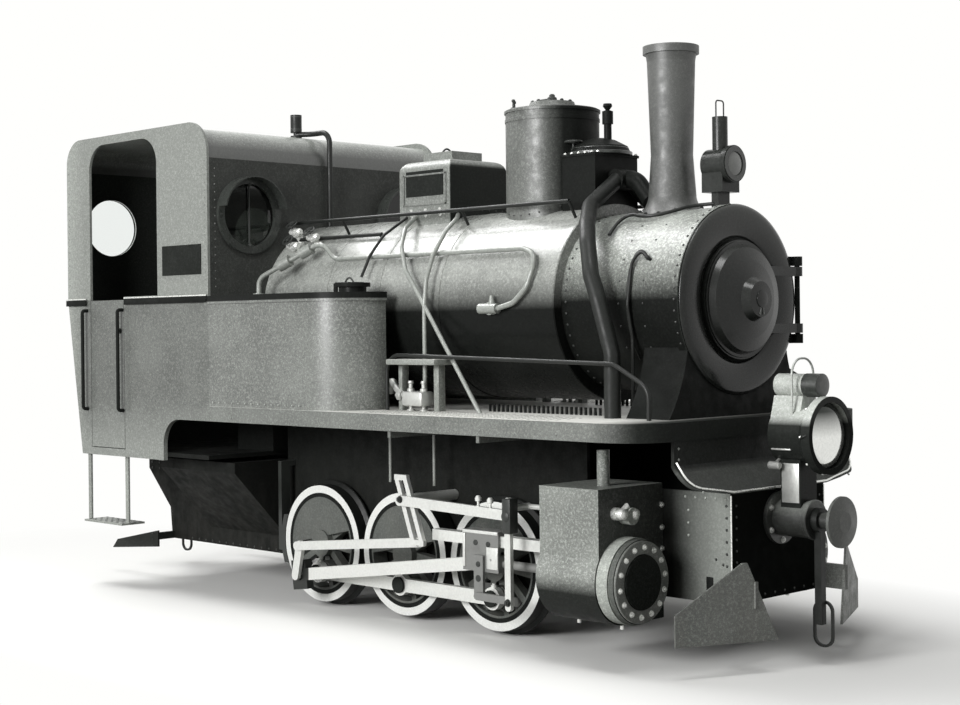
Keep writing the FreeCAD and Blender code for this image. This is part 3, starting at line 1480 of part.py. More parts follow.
def cylinders():
    y = -S.cylinder_across
    z = rise(S.cylinder_height)
    x = fore(cylinder_rear)
    length = S.cylinder_length
    shape = [
        (-S.frame_half_width, z - S.cylinder_barrel),
        (y, z - S.cylinder_barrel, -S.cylinder_barrel),
        (y - S.cylinder_barrel, z, -S.cylinder_barrel),
        (-S.cylinder_face, z + root(S.cylinder_barrel * S.cylinder_barrel
                                    - (S.cylinder_face - S.cylinder_across) * (S.cylinder_face - S.cylinder_across))),
        (-S.cylinder_face, rise(S.cylinder_top)),
        (-S.frame_half_width, rise(S.cylinder_top)),
    ]
    parts = [plate("cylinder_block", "front", shape, length, (x, 0, 0))]
    front = x + length
    parts.append(rod("cylinder_neck", S.cylinder_barrel - S.cover_flange / 4, S.cover_reach, (front, y, z), "x"))
    parts.append(rod("cylinder_flange", S.cover_radius, S.cover_flange, (front + S.cover_reach, y, z), "x"))
    parts.append(rod("cylinder_cap", S.cover_cap_radius, S.cover_cap,
                     (front + S.cover_reach + S.cover_flange, y, z), "x"))
    parts.append(rod("gland", S.gland_radius, S.gland_reach, (x - S.gland_reach, y, z), "x"))
    parts.append(rod("valve_cover", S.valve_cover_radius, S.valve_cover_reach, (front, y, rise(S.valve_height)), "x"))
    parts.append(rod("oil_cup", S.cup_radius, S.cup_height,
                     (x + length * 2 / 3, y, rise(S.cylinder_top))))
    bore = rod("gland_bore", S.piston_rod_radius + S.running_gap, S.gland_reach + length,
               (x - S.gland_reach, y, z), "x")
    right = node("cylinder_right", cut("cylinder_bored", joined("cylinder_parts", parts), [bore]))
    node("cylinder_left", mirrored("cylinder_far", right))
    slide = box("slide_bar", (cylinder_rear - S.slide_bar_rear, S.slide_bar_width, S.slide_bar_height),
                (fore(S.slide_bar_rear), y - S.slide_bar_width / 2, rise(S.slide_bar_low)))
    right = node("slide_bar_right", slide)
    node("slide_bar_left", mirrored("slide_far", right))


def wrist(side):
    """The crosshead pin's place at rest, as (x, z)."""
    pin_x, pin_z = crank_offset(side)
    big_x = axle_places["rear"] + pin_x
    big_z = axle_height + pin_z
    drop = rise(S.cylinder_height) - big_z
    return big_x + root(S.connecting_rod_length * S.connecting_rod_length - drop * drop), rise(S.cylinder_height)


def crosshead(side):
    x, z = wrist(side)
    centre = SIDES[side] * S.cylinder_across
    half_bar = S.slide_bar_width / 2
    bar_low = rise(S.slide_bar_low)
    bar_top = bar_low + S.slide_bar_height
    length = S.crosshead_length
    inner = half_bar + S.slide_gap
    low = z - S.small_end_radius
    high = bar_top + S.slide_gap + S.slipper_thick
    parts = []
    for label, y in (("a", centre - inner - S.cheek_thick), ("b", centre + inner)):
        parts.append(box("cheek_%s_%s" % (side, label), (length, S.cheek_thick, high - low),
                         (x - length / 2, y, low)))
    parts.append(box("slipper_top_" + side, (length, 2 * inner, S.slipper_thick),
                     (x - length / 2, centre - inner, bar_top + S.slide_gap)))
    parts.append(box("slipper_low_" + side, (length, 2 * inner, S.slipper_thick),
                     (x - length / 2, centre - inner, bar_low - S.slide_gap - S.slipper_thick)))
    boss = S.small_end_radius + 2 * S.clearance
    parts.append(box("crosshead_boss_" + side, (length / 2 - boss, 2 * inner, 2 * S.small_end_radius),
                     (x + boss, centre - inner, low)))
    parts.append(rod("wrist_pin_" + side, S.wrist_pin_radius, 2 * (inner + S.cheek_thick),
                     (x, centre - inner - S.cheek_thick, z), "y"))
    parts.append(rod("piston_rod_" + side, S.piston_rod_radius, piston_rod_length, (x + length / 2, centre, z), "x"))
    parts += drop_arm(side, x, z, inner)
    node("crosshead_" + side, joined("crosshead_parts_" + side, parts))


def drop_arm(side, x, z, inner):
    """The arm and the link that carry the piston's motion to the lever."""
    near = S.cylinder_across + inner + S.cheek_thick
    thick = S.drop_arm_thick
    arm = box("drop_arm_" + side, (S.drop_arm_width, thick, S.drop_arm_reach + S.small_end_radius),
              (x - S.drop_arm_width / 2, across(side, near, thick), z - S.drop_arm_reach))
    low = z - S.drop_arm_reach
    link_z = low + S.union_link_height / 2
    bar = box("union_link_" + side, (S.union_link_length, thick, S.union_link_height),
              (x, across(side, near + thick + S.clearance, thick), low))
    pin = rod("union_pin_" + side, S.union_link_height / 3, 2 * thick + S.clearance,
              (x, across(side, near, 2 * thick + S.clearance), link_z), "y")
    eye = rod("union_eye_" + side, S.union_link_height * 3 / 5, thick,
              (x + S.union_link_length, across(side, near + thick + S.clearance, thick), link_z), "y")
    return [arm, bar, pin, eye]


def connecting_rod(side):
    x, z = wrist(side)
    pin_x, pin_z = crank_offset(side)
    big_x = axle_places["rear"] + pin_x
    big_z = axle_height + pin_z
    centre = SIDES[side] * S.cylinder_across
    thick = S.connecting_rod_thick
    along = (x - big_x, z - big_z)
    middle = ((x + big_x) / 2, centre, (z + big_z) / 2)
    bar = leaning_box("rod_bar_" + side, (S.connecting_rod_length, thick, S.connecting_rod_height), middle, along)
    head = leaning_box("big_end_" + side, (S.big_end_length, thick, S.big_end_height), (big_x, centre, big_z), along)
    eye = rod("small_end_" + side, S.small_end_radius, thick, (x, centre - thick / 2, z), "y")
    trim = box("rod_trim_" + side, (S.small_end_radius * 2, 2 * thick, S.connecting_rod_height * 2),
               (x, centre - thick, z - S.connecting_rod_height))
    bar = cut("rod_bar_cut_" + side, bar, [trim])
    bore = rod("small_bore_" + side, S.wrist_pin_radius + S.running_gap, 2 * thick, (x, centre - thick, z), "y")
    big_bore = rod("big_bore_" + side, S.pin_radius, 2 * thick, (big_x, centre - thick, big_z), "y")
    node("connecting_rod_" + side, cut("rod_bored_" + side, joined("rod_parts_" + side, [bar, head, eye]),
                                       [bore, big_bore]))


def coupling_rod(side):
    pin_x, pin_z = crank_offset(side)
    z = axle_height + pin_z
    y = across(side, rod_inner, S.coupling_rod_thick)
    parts = [box("coupling_bar_" + side, (2 * S.axle_spacing, S.coupling_rod_thick, S.coupling_rod_height),
                 (axle_places["rear"] + pin_x, y, z - S.coupling_rod_height / 2))]
    bores = []
    for place, x in axle_places.items():
        parts.append(rod("coupling_eye_%s_%s" % (place, side), S.coupling_eye_radius, S.coupling_rod_thick,
                         (x + pin_x, y, z), "y"))
        bores.append(rod("coupling_bore_%s_%s" % (place, side), S.pin_radius + S.running_gap,
                         3 * S.coupling_rod_thick, (x + pin_x, y - S.coupling_rod_thick, z), "y"))
    node("coupling_rod_" + side, cut("coupling_bored_" + side, joined("coupling_parts_" + side, parts), bores))


def bar_between(name, first, last, height, near, thick, side):
    """A flat bar with round ends between two pins given as (x, z)."""
    y = across(side, near, thick)
    along = (last[0] - first[0], last[1] - first[1])
    length = root(along[0] * along[0] + along[1] * along[1])
    middle = ((first[0] + last[0]) / 2, y + thick / 2, (first[1] + last[1]) / 2)
    parts = [leaning_box(name, (length, thick, height), middle, along)]
    for label, spot in (("a", first), ("b", last)):
        parts.append(rod("%s_end_%s" % (name, label), height / 2, thick, (spot[0], y, spot[1]), "y"))
    return parts


def pin_through(name, spot, radius, near, far, side):
    return rod(name, radius, far - near, (spot[0], across(side, near, far - near), spot[1]), "y")


def valve_gear(side):
    pin_x, pin_z = crank_offset(side)
    thick = S.gear_bar
    crank_near = S.cylinder_across + S.connecting_rod_thick / 2 + 2 * S.clearance
    rod_near = crank_near + S.return_crank_thick
    main = (axle_places["rear"] + pin_x, axle_height + pin_z)
    offset = S.return_crank_reach / S.crank_radius
    eccentric = (axle_places["rear"] - pin_z * offset, axle_height + pin_x * offset)
    foot = (fore(S.link_foot_x), rise(S.link_foot))
    head = (fore(S.link_head_x), rise(S.link_head))
    parts = bar_between("return_crank_" + side, main, eccentric, S.return_crank_width, crank_near,
                        S.return_crank_thick, side)
    parts += bar_between("eccentric_rod_" + side, eccentric, foot, S.eccentric_rod_height, rod_near,
                         S.eccentric_rod_thick, side)
    link_near = rod_near + S.eccentric_rod_thick
    gap = S.link_bar_gap
    for label, dx in (("rear", -gap / 2 - S.link_bar_width / 2), ("front", gap / 2 + S.link_bar_width / 2)):
        parts += bar_between("link_%s_%s" % (label, side), (foot[0] + dx, foot[1]), (head[0] + dx, head[1]),
                             S.link_bar_width, link_near, thick, side)
    for label, spot in (("foot", foot), ("head", head)):
        parts.append(box("link_tie_%s_%s" % (label, side), (gap + 2 * S.link_bar_width, thick, S.link_bar_width),
                         (spot[0] - gap / 2 - S.link_bar_width, across(side, link_near, thick),
                          spot[1] - S.link_bar_width / 2)))
    rear = (fore(S.radius_rod_rear_x) + S.link_bar_gap, rise(S.radius_rod_rear))
    top = (fore(S.lever_x), rise(S.valve_height) - S.lever_width)
    radius_near = link_near + thick
    parts += bar_between("radius_rod_" + side, rear, top, S.radius_rod_height, radius_near, thick, side)
    lever_low = (fore(S.lever_x), rise(S.lever_low))
    lever_top = (fore(S.lever_x), rise(S.lever_top) + S.lever_width / 2)
    parts += bar_between("lever_" + side, lever_low, lever_top, S.lever_width, radius_near + thick, thick, side)
    parts.append(pin_through("link_pin_" + side, rear, S.link_bar_width, S.frame_half_width,
                             radius_near + thick, side))
    spindle_y = SIDES[side] * S.cylinder_across
    parts.append(rod("spindle_" + side, S.spindle_radius, cylinder_rear - S.lever_x,
                     (fore(S.lever_x), spindle_y, rise(S.valve_height)), "x"))
    parts.append(pin_through("spindle_pin_" + side, (fore(S.lever_x), rise(S.valve_height)), S.spindle_radius * 5 / 4,
                             S.cylinder_across - S.spindle_radius, radius_near + 2 * thick, side))
    parts.append(pin_through("foot_pin_" + side, foot, S.link_bar_width / 2, rod_near, radius_near, side))
    node("valve_gear_" + side, joined("valve_gear_parts_" + side, parts))


def head_lamp():
    front = frame_front + S.head_lamp_reach
    depth = S.head_lamp_bezel_depth
    bezel = S.head_lamp_bezel
    body = S.head_lamp_body
    length = S.head_lamp_length
    rear = front - depth - length
    wall = S.guard_plate
    shape = [
        (0, 0),
        (0, body * 4 / 5),
        (wall, body),
        (length, body),
        (length + depth / 2, bezel - wall),
        (length + depth / 2, bezel),
        (length + depth, bezel),
        (length + depth, S.head_lamp_glass),
        (length + depth / 2, S.head_lamp_glass),
        (length + depth / 4, 0),
    ]
    z = rise(S.head_lamp_height)
    shell = turned("lamp_shell", shape, (fore(rear), 0, z), "x")
    half = S.lamp_hood_half
    low = rise(S.lamp_hood_low)
    high = rise(S.lamp_hood_top)
    hood = plate("lamp_hood", "front", [(-half, low), (half, low), (half * 3 / 5, high), (-half * 3 / 5, high)],
                 S.lamp_hood_length, (fore(frame_front + S.lamp_hood_gap), 0, 0))
    drum = rod("lamp_drum", S.lamp_drum_radius, S.lamp_drum_length,
               (fore(frame_front + S.lamp_drum_gap), 0, rise(S.lamp_drum_height)), "x")
    foot = cut("lamp_foot", box("lamp_foot_box", (length * 3 / 5, body, S.head_lamp_height - S.buffer_height),
                                (fore(rear) + length / 5, -body / 2, rise(S.buffer_height))),
               [rod("lamp_foot_seat", S.buffer_barrel, length, (fore(rear), 0, rise(S.buffer_height)), "x")])
    x = fore(frame_front + S.bail_gap)
    across_bail = S.bail_half
    handle = pipe("lamp_handle", [(x, -across_bail, rise(S.bail_foot)), (x, -across_bail, rise(S.bail_top)),
                                  (x, across_bail, rise(S.bail_top)), (x, across_bail, rise(S.bail_foot))],
                  S.rail_radius / 2, across_bail)
    node("head_lamp", joined("head_lamp_parts", [shell, hood, drum, foot, handle]))


def top_lamp():
    z = rise(S.top_lamp_height)
    radius = S.top_lamp_radius
    length = S.top_lamp_length
    x = fore(S.top_lamp_x)
    body = radius * 7 / 8
    half = radius * 3 / 4
    parts = [rod("top_lamp_shell", body, length, (x - length / 2, 0, z), "x")]
    parts.append(box("top_lamp_case", (length, 2 * half, radius * 3 / 2), (x - length / 2, -half, z - radius * 3 / 2)))
    parts.append(rod("top_lamp_bezel", radius, length / 5, (x + length / 2, 0, z), "x"))
    tube = S.top_lamp_tube
    high = rise(S.top_lamp_tube_top)
    parts.append(rod("top_lamp_tube", tube, high - z, (x, 0, z)))
    wire = S.rail_radius / 3
    loop = rise(S.top_lamp_loop_top)
    half_loop = tube - 2 * wire
    parts.append(pipe("top_lamp_loop", [(x, -half_loop, high - tube), (x, -half_loop, loop),
                                        (x, half_loop, loop), (x, half_loop, high - tube)], wire, half_loop / 2))
    foot = cut("top_lamp_foot", box("top_lamp_foot_box", (length / 3, radius, S.top_lamp_height - S.boiler_height),
                                    (x - length / 6, -radius / 2, rise(S.boiler_height))),
               [rod("top_lamp_seat", S.smokebox_radius, length, (x - length / 2, 0, rise(S.boiler_height)), "x")])
    node("top_lamp", joined("top_lamp_parts", parts + [foot]))


def buffer_shape(reach, barrel):
    flange = S.buffer_flange_thick
    disc = S.buffer_disc
    return [
        (0, 0),
        (0, S.buffer_flange),
        (flange, S.buffer_flange),
        (flange, S.buffer_barrel),
        (barrel, S.buffer_barrel),
        (barrel, S.buffer_shaft),
        (reach - disc, S.buffer_shaft),
        (reach - disc, S.buffer_radius),
        (reach - disc / 2, S.buffer_radius),
        (reach, S.buffer_radius * 2 / 5),
        (reach, 0),
    ]


def buffers():
    z = rise(S.buffer_height)
    front = buffer_shape(S.buffer_reach, S.buffer_barrel_length)
    node("buffer_front", turned("buffer_front", front, (fore(frame_front), 0, z), "x"))
    rear = buffer_shape(S.rear_buffer_reach, S.rear_buffer_barrel)
    shape = [(-along, radius) for along, radius in reversed(rear)]
    node("buffer_rear", turned("buffer_rear", shape, (fore(S.frame_rear), 0, z), "x"))


def coupling(end):
    """A hook bar and a link that hang from one buffer's shaft; end is 1 in front and -1 behind."""
    start = frame_front if end == 1 else S.frame_rear
    name = "front" if end == 1 else "rear"
    length = S.buffer_barrel_length if end == 1 else S.rear_buffer_barrel
    thick = S.coupling_bar
    near = fore(start) + length if end == 1 else fore(start) - length - thick
    z = rise(S.buffer_height)
    eye = S.buffer_shaft + thick / 2
    low = rise(S.coupling_low)
    ring = rod("coupling_eye_" + name, eye, thick, (near, 0, z), "x")
    bar = box("coupling_bar_" + name, (thick, thick, z - low), (near, -thick / 2, low))
    hook = cut("coupling_hook_" + name, joined("coupling_solid_" + name, [ring, bar]),
               [rod("coupling_bore_" + name, S.buffer_shaft, 3 * thick, (near - thick, 0, z), "x")])
    half = thick * 3 / 2
    tall = S.coupling_link
    shape = [(-half, low - tall / 2), (half, low - tall / 2), (half, low + tall / 2), (-half, low + tall / 2)]
    hole = half - thick / 3
    inner = tall / 2 - thick / 3
    gap = [(-hole, low - inner), (hole, low - inner), (hole, low + inner), (-hole, low + inner)]
    middle = near + thick / 2
    outer_plate = plate("link_outer_" + name, "side", shape, thick / 3, (middle, thick / 2, 0),
                        [(half * 9 / 10, shape)])
    inner_plate = plate("link_inner_" + name, "side", gap, thick, (middle, thick / 4, 0), [(hole * 9 / 10, gap)])
    return [hook, cut("coupling_link_" + name, outer_plate, [inner_plate])]


def couplings():
    node("couplings", joined("coupling_set", coupling(1) + coupling(-1)))


def rail_guards():
    length = root(S.guard_reach * S.guard_reach + S.guard_spread * S.guard_spread)
    low = rise(S.guard_low)
    high = low + S.guard_height
    shape = [
        (0, low),
        (length, low),
        (length * 7 / 10, high),
        (length * 13 / 20, high),
        (0, low + S.guard_height * 2 / 5),
    ]
    turn = Rotation(Vector(0, 0, 1), math.degrees(math.atan2(S.guard_spread.number, S.guard_reach.number)))
    start = frame_front - S.guard_back
    near = plate("front_guard", "side", shape, S.guard_plate, (fore(start), -S.guard_across, 0), (), turn)
    way = S.guard_reach * (S.guard_across - S.frame_half_width + S.frame_plate) / S.guard_spread
    bracket = box("guard_bracket", (way - S.guard_back, S.frame_plate, S.guard_height / 3),
                  (fore(frame_front), -S.frame_half_width, rise(S.frame_front_low)))
    front = joined("front_guard_near", [near, bracket])
    y = -(wheel_face + S.guard_plate)
    knee = S.frame_rear_knee_x + 2 * S.frame_plate
    tip = S.frame_rear - S.rear_guard_reach
    leaf = plate("rear_guard", "side", [
        (fore(knee), rise(S.frame_low) + S.guard_height / 6),
        (fore(tip + S.guard_height / 6), low + S.guard_height / 6),
        (fore(tip), low),
        (fore(knee), rise(S.frame_low) - S.guard_height / 8),
    ], S.guard_plate, (0, y, 0))
    arm = box("rear_guard_arm", (S.frame_plate, -y - S.frame_half_width, S.guard_height / 8),
              (fore(knee) - S.frame_plate, y, rise(S.frame_low)))
    rear = joined("rear_guard_near", [leaf, arm])
    node("rail_guards", joined("guard_set", [front, mirrored("front_guard_far", front),
                                             rear, mirrored("rear_guard_far", rear)]))


def steps():
    parts = []
    y = -S.step_across
    for label, x in (("rear", S.step_rear), ("front", S.step_front)):
        parts.append(box("step_bar_" + label, (S.step_bar, S.step_plate,
                           S.floor_height - S.floor_plate - S.step_height),
                         (fore(x) - S.step_bar / 2, y, rise(S.step_height))))
    parts.append(box("step_tread", (S.step_front - S.step_rear, S.step_depth, S.step_plate),
                     (fore(S.step_rear), y - S.step_depth / 4, rise(S.step_height) - S.step_plate)))
    near = joined("step_near", parts)
    node("cab_steps", joined("step_pair", [near, mirrored("step_far", near)]))


def ashpan():
    inner = S.frame_half_width - S.frame_plate
    pan = box("ashpan_box", (S.ashpan_front - S.ashpan_rear, 2 * inner, S.stretcher_height),
              (fore(S.ashpan_rear), -inner, rise(S.frame_low)))
    wall = S.frame_half_width
    wide = S.hopper_half_width
    top = rise(S.frame_top)
    shape = [
        (-wide, top - S.hopper_edge),
        (-wall, rise(S.hopper_low)),
        (-wall, top),
        (-wide, top),
    ]
    wing = plate("ash_hopper", "front", shape, S.hopper_front - S.hopper_rear, (fore(S.hopper_rear), 0, 0))
    node("ashpan", joined("ashpan_set", [pan, wing, mirrored("ash_hopper_far", wing)]))


def handrails():
    parts = []
    for side in SIDES:
        y = SIDES[side] * (board_edge + S.handrail_stand)
        wall = SIDES[side] * board_edge
        for label, x in (("rear", S.doorway_rear - S.handrail_stand), ("front", S.door_front - S.cab_wall)):
            low = rise(S.board_low) + S.handrail_stand
            high = rise(S.belt_height) - 2 * S.step_bar
            parts.append(pipe("rail_%s_%s" % (label, side), [
                (fore(x), wall, low), (fore(x), y, low), (fore(x), y, high), (fore(x), wall, high)],
                S.rail_radius, S.handrail_stand / 2))
    node("handrails", joined("handrail_set", parts))


def build():
    for place in axle_places:
        wheelset(place)
    frame()
    apron()
    running_board()
    side_tanks()
    tank_lids()
    cab_sides()
    cab_doors()
    cab_front()
    cab_rear()
    cab_roof()
    blank_plates()
    cab_floor()
    backhead()
    boiler()
    smokebox_door()
    chimney()
    dome()
    sandbox()
    whistle()
    steam_pipes()
    feed_pipes()
    sand_pipes()
    boiler_rods()
    cylinders()
    for side in SIDES:
        crosshead(side)
        connecting_rod(side)
        coupling_rod(side)
        valve_gear(side)
    head_lamp()
    top_lamp()
    buffers()
    couplings()
    rail_guards()
    brake_gear()
    steps()
    ashpan()
    handrails()


def check_and_export():
    doc.recompute()
    for item in doc.Objects:
        if "Invalid" in item.State or "Error" in item.State:
            raise RuntimeError("%s did not build: %s" % (item.Label, item.State))
    os.makedirs("parts", exist_ok=True)
    for name, item in nodes.items():
        if item.Shape.isNull() or not item.Shape.isValid() or item.Shape.Volume <= 0:
            raise RuntimeError("%s has no valid shape" % name)
    for name, item in nodes.items():
        item.Shape.exportStep("parts/%s.step" % name)


build()
check_and_export()
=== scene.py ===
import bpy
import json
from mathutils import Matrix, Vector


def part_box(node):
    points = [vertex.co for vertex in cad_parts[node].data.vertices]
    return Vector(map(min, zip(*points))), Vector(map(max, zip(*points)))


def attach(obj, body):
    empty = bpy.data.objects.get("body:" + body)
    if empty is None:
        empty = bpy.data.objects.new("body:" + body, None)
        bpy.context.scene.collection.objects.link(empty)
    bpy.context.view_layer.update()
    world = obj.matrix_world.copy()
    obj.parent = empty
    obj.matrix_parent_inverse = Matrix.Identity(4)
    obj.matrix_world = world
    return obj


bl_info = {
    "name": "Tank Locomotive Dressing",
    "version": (1, 1, 0),
    "blender": (4, 5, 0),
    "location": "3D View > Sidebar > Locomotive",
    "description": "Paints and details a small steam tank locomotive around its packed frame",
    "category": "Object",
}

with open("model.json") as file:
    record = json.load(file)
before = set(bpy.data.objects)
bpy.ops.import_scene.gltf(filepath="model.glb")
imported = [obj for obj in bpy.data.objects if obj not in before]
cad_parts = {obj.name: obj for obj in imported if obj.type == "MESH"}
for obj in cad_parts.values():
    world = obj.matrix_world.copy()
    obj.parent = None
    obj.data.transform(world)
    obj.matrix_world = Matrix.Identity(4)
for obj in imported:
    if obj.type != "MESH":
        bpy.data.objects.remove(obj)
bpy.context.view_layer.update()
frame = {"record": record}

import json
import math

import bmesh
import bpy
from bpy.props import FloatProperty, FloatVectorProperty, IntProperty, PointerProperty
from mathutils import Matrix, Vector

BODY = "locomotive"
SIDES = (("right", -1), ("left", 1))
X, Y, Z = range(3)
AHEAD, BACK, UP = Vector((1, 0, 0)), Vector((-1, 0, 0)), Vector((0, 0, 1))


def least(node, axis):
    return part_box(node)[0][axis]


def most(node, axis):
    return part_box(node)[1][axis]


def middle(node, axis):
    return (least(node, axis) + most(node, axis)) / 2


# Places read from the solids, in metres
AXIS = middle("boiler", Z)
BOILER = most("boiler", Z) - AXIS
SMOKEBOX_REAR = most("boiler", X)
SMOKEBOX_FRONT = most("smokebox_saddle", X)
SMOKEBOX = 0.539
SMOKEBOX_RIM = 0.553
BOARD_TOP = most("running_board", Z)
FRAME_FRONT = most("frame", X)
FRAME_HALF = most("frame", Y)
FRAME_TOP = least("front_apron", Z)
TANK_TOP = most("side_tank_right", Z) - 0.059
CAB_OUTER = -least("cab_side_right", Y)
CYLINDER_HEIGHT = least("crosshead_right", Z) + 0.22
CYLINDER_ACROSS = 0.787
CHIMNEY_X = middle("chimney", X)
DOME_X = least("dome", X) + 0.308
DOME_TOP = most("dome", Z)
BUFFER_HEIGHT = middle("buffer_front", Z)
WINDOW_HEIGHT = middle("window_glass", Z)
HEAD_LAMP_FRONT = most("head_lamp", X)
HEAD_LAMP_HEIGHT = 1.278
TOP_LAMP_HEIGHT = least("top_lamp", Z) + 0.251
AXLES = {place: middle("tyres_" + place, X) for place in ("rear", "middle", "front")}
AXLE_HEIGHT = middle("tyres_rear", Z)

# How far the middle of a rivet's head stands off its plate
PROUD = 0.0005


def colour(name, description, *value):
    return FloatVectorProperty(name=name, description=description, subtype="COLOR", size=4, min=0, max=1,
                               default=(*value, 1))


def size(name, description, value, smallest, largest):
    return FloatProperty(name=name, description=description, subtype="DISTANCE", unit="LENGTH",
                         default=value, min=smallest, max=largest)


def angle(name, description, degrees):
    return FloatProperty(name=name, description=description, subtype="ANGLE", unit="ROTATION",
                         default=math.radians(degrees))


class LocomotiveLooks(bpy.types.PropertyGroup):
    """Colours and sizes that a user may change."""

    tank_paint: colour("Tank paint", "Satin paint of the tanks, cab and doors", 0.150, 0.158, 0.146)
    boiler_paint: colour("Boiler paint", "Gloss paint of the boiler's lagging sheets", 0.270, 0.280, 0.262)
    black_paint: colour("Black paint", "Dull black of the smokebox, chimney and frame", 0.015, 0.0165, 0.015)
    wheel_paint: colour("Wheel paint", "Grey of the wheel centres", 0.085, 0.092, 0.085)
    bright_steel: colour("Bright steel", "Machined steel of the rods and bars", 0.72, 0.73, 0.70)
    pale_paint: colour("Pale paint", "Pale paint on the outer faces of the tyres", 0.76, 0.77, 0.74)
    rivet_radius: size("Rivet radius", "Radius of the rivet heads on the plates", 0.0085, 0.003, 0.02)
    bolt_radius: size("Bolt radius", "Radius of the hexagon heads", 0.013, 0.004, 0.03)
    tread_pitch: size("Tread pitch", "Distance between the ribs of the running board", 0.05, 0.02, 0.2)
    turn_seed: IntProperty(name="Turn seed", description="Picks how far each bolt head is turned",
                           default=7, min=0)


class StageSettings(bpy.types.PropertyGroup):
    """The camera's place and the light level."""

    camera_place: FloatVectorProperty(
        name="Camera place", description="Where the camera stands", subtype="TRANSLATION", unit="LENGTH",
        size=3, default=(8.3291, -7.8243, 1.8966))
    camera_heading: angle("Camera heading", "Turn of the view about the vertical", 45.379)
    camera_roll: angle("Camera roll", "Roll of the view about its own axis", -0.6326)
    lens: FloatProperty(name="Lens", description="Focal length in millimetres on a 36 mm sensor",
                        default=62.445)
    lens_shift: FloatProperty(name="Lens shift", description="Vertical shift of the picture",
                              default=-0.02618)
    sky_light: FloatProperty(name="Sky light", description="Strength of the plain light all round",
                             default=0.15)


def looks():
    return bpy.context.scene.locomotive_looks


class Graph:
    """Lays out the nodes of one tree."""

    def __init__(self, tree):
        self.tree = tree

    def fill(self, socket, source):
        """Links a socket to another one, or sets it to a value."""
        if isinstance(source, bpy.types.NodeSocket):
            self.tree.links.new(source, socket)
        else:
            socket.default_value = source

    def node(self, kind, inputs=(), **settings):
        node = self.tree.nodes.new(kind)
        for key, value in settings.items():
            setattr(node, key, value)
        for key, source in dict(inputs).items():
            self.fill(node.inputs[key], source)
        return node

    def add(self, kind, inputs=(), output=0, **settings):
        return self.node(kind, inputs, **settings).outputs[output]

    def math(self, operation, *numbers):
        return self.add("ShaderNodeMath", enumerate(numbers), operation=operation)

    def times(self, first, second):
        return self.math("MULTIPLY", first, second)

    def spread(self, value, low, high, start=0.35, end=0.65):
        """Maps a value between start and end to low and high."""
        return self.add("ShaderNodeMapRange", {
            "Value": value, "From Min": start, "From Max": end, "To Min": low, "To Max": high})

    def blend(self, factor, first, second):
        """Mixes two colours, each a colour or a socket."""
        return self.add("ShaderNodeMix", {0: factor, 6: first, 7: second}, 2, data_type="RGBA")


class Recipe(Graph):
    """Lays out one material around its shader."""

    def __init__(self, name):
        self.material = bpy.data.materials.new(name)
        self.material.use_nodes = True
        super().__init__(self.material.node_tree)
        self.tree.nodes.clear()
        self.shader = self.node("ShaderNodeBsdfPrincipled")
        self.output = self.node("ShaderNodeOutputMaterial", {"Surface": self.shader.outputs["BSDF"]})
        self.place = self.add("ShaderNodeTexCoord", output="Object")

    def give(self, inputs):
        for key, source in inputs.items():
            self.fill(self.shader.inputs[key], source)

    def stretch(self, scale):
        return self.add("ShaderNodeMapping", {"Scale": scale, "Vector": self.place})

    def noise(self, scale, detail=4, roughness=0.55, vector=None):
        return self.add("ShaderNodeTexNoise", {
            "Scale": scale, "Detail": detail, "Roughness": roughness, "Vector": vector or self.place}, "Fac")

    def bump(self, height, strength, distance):
        self.give({"Normal": self.add("ShaderNodeBump", {
            "Strength": strength, "Distance": distance, "Height": height})})

    def along(self, axis, start, end):
        """Runs from 0 at start to 1 at end of an axis.

        "side" is the distance from the middle plane, and "ahead" and "up" are how far a face looks that way.
        """
        facing = {"ahead": "X", "up": "Z"}.get(axis)
        source = self.add("ShaderNodeNewGeometry", output="Normal") if facing else self.place
        part = facing or ("Y" if axis == "side" else axis)
        value = self.add("ShaderNodeSeparateXYZ", {"Vector": source}, part)
        if axis == "side":
            value = self.math("ABSOLUTE", value)
        return self.spread(value, 0, 1, start, end)


DUST = (0.2, 0.19, 0.17, 1)
# Pale colour for faces that look up: dust, and a painted highlight of the light from above
LEDGE_DUST_AND_HIGHLIGHT = (0.68, 0.68, 0.64, 1)
# Zones darker than this lose nearly all their gleam
MATT_BELOW = 0.04
MATT_SHARE = 0.12


def shade(colour, factor):
    return (*(min(part * factor, 1) for part in colour[:3]), 1)


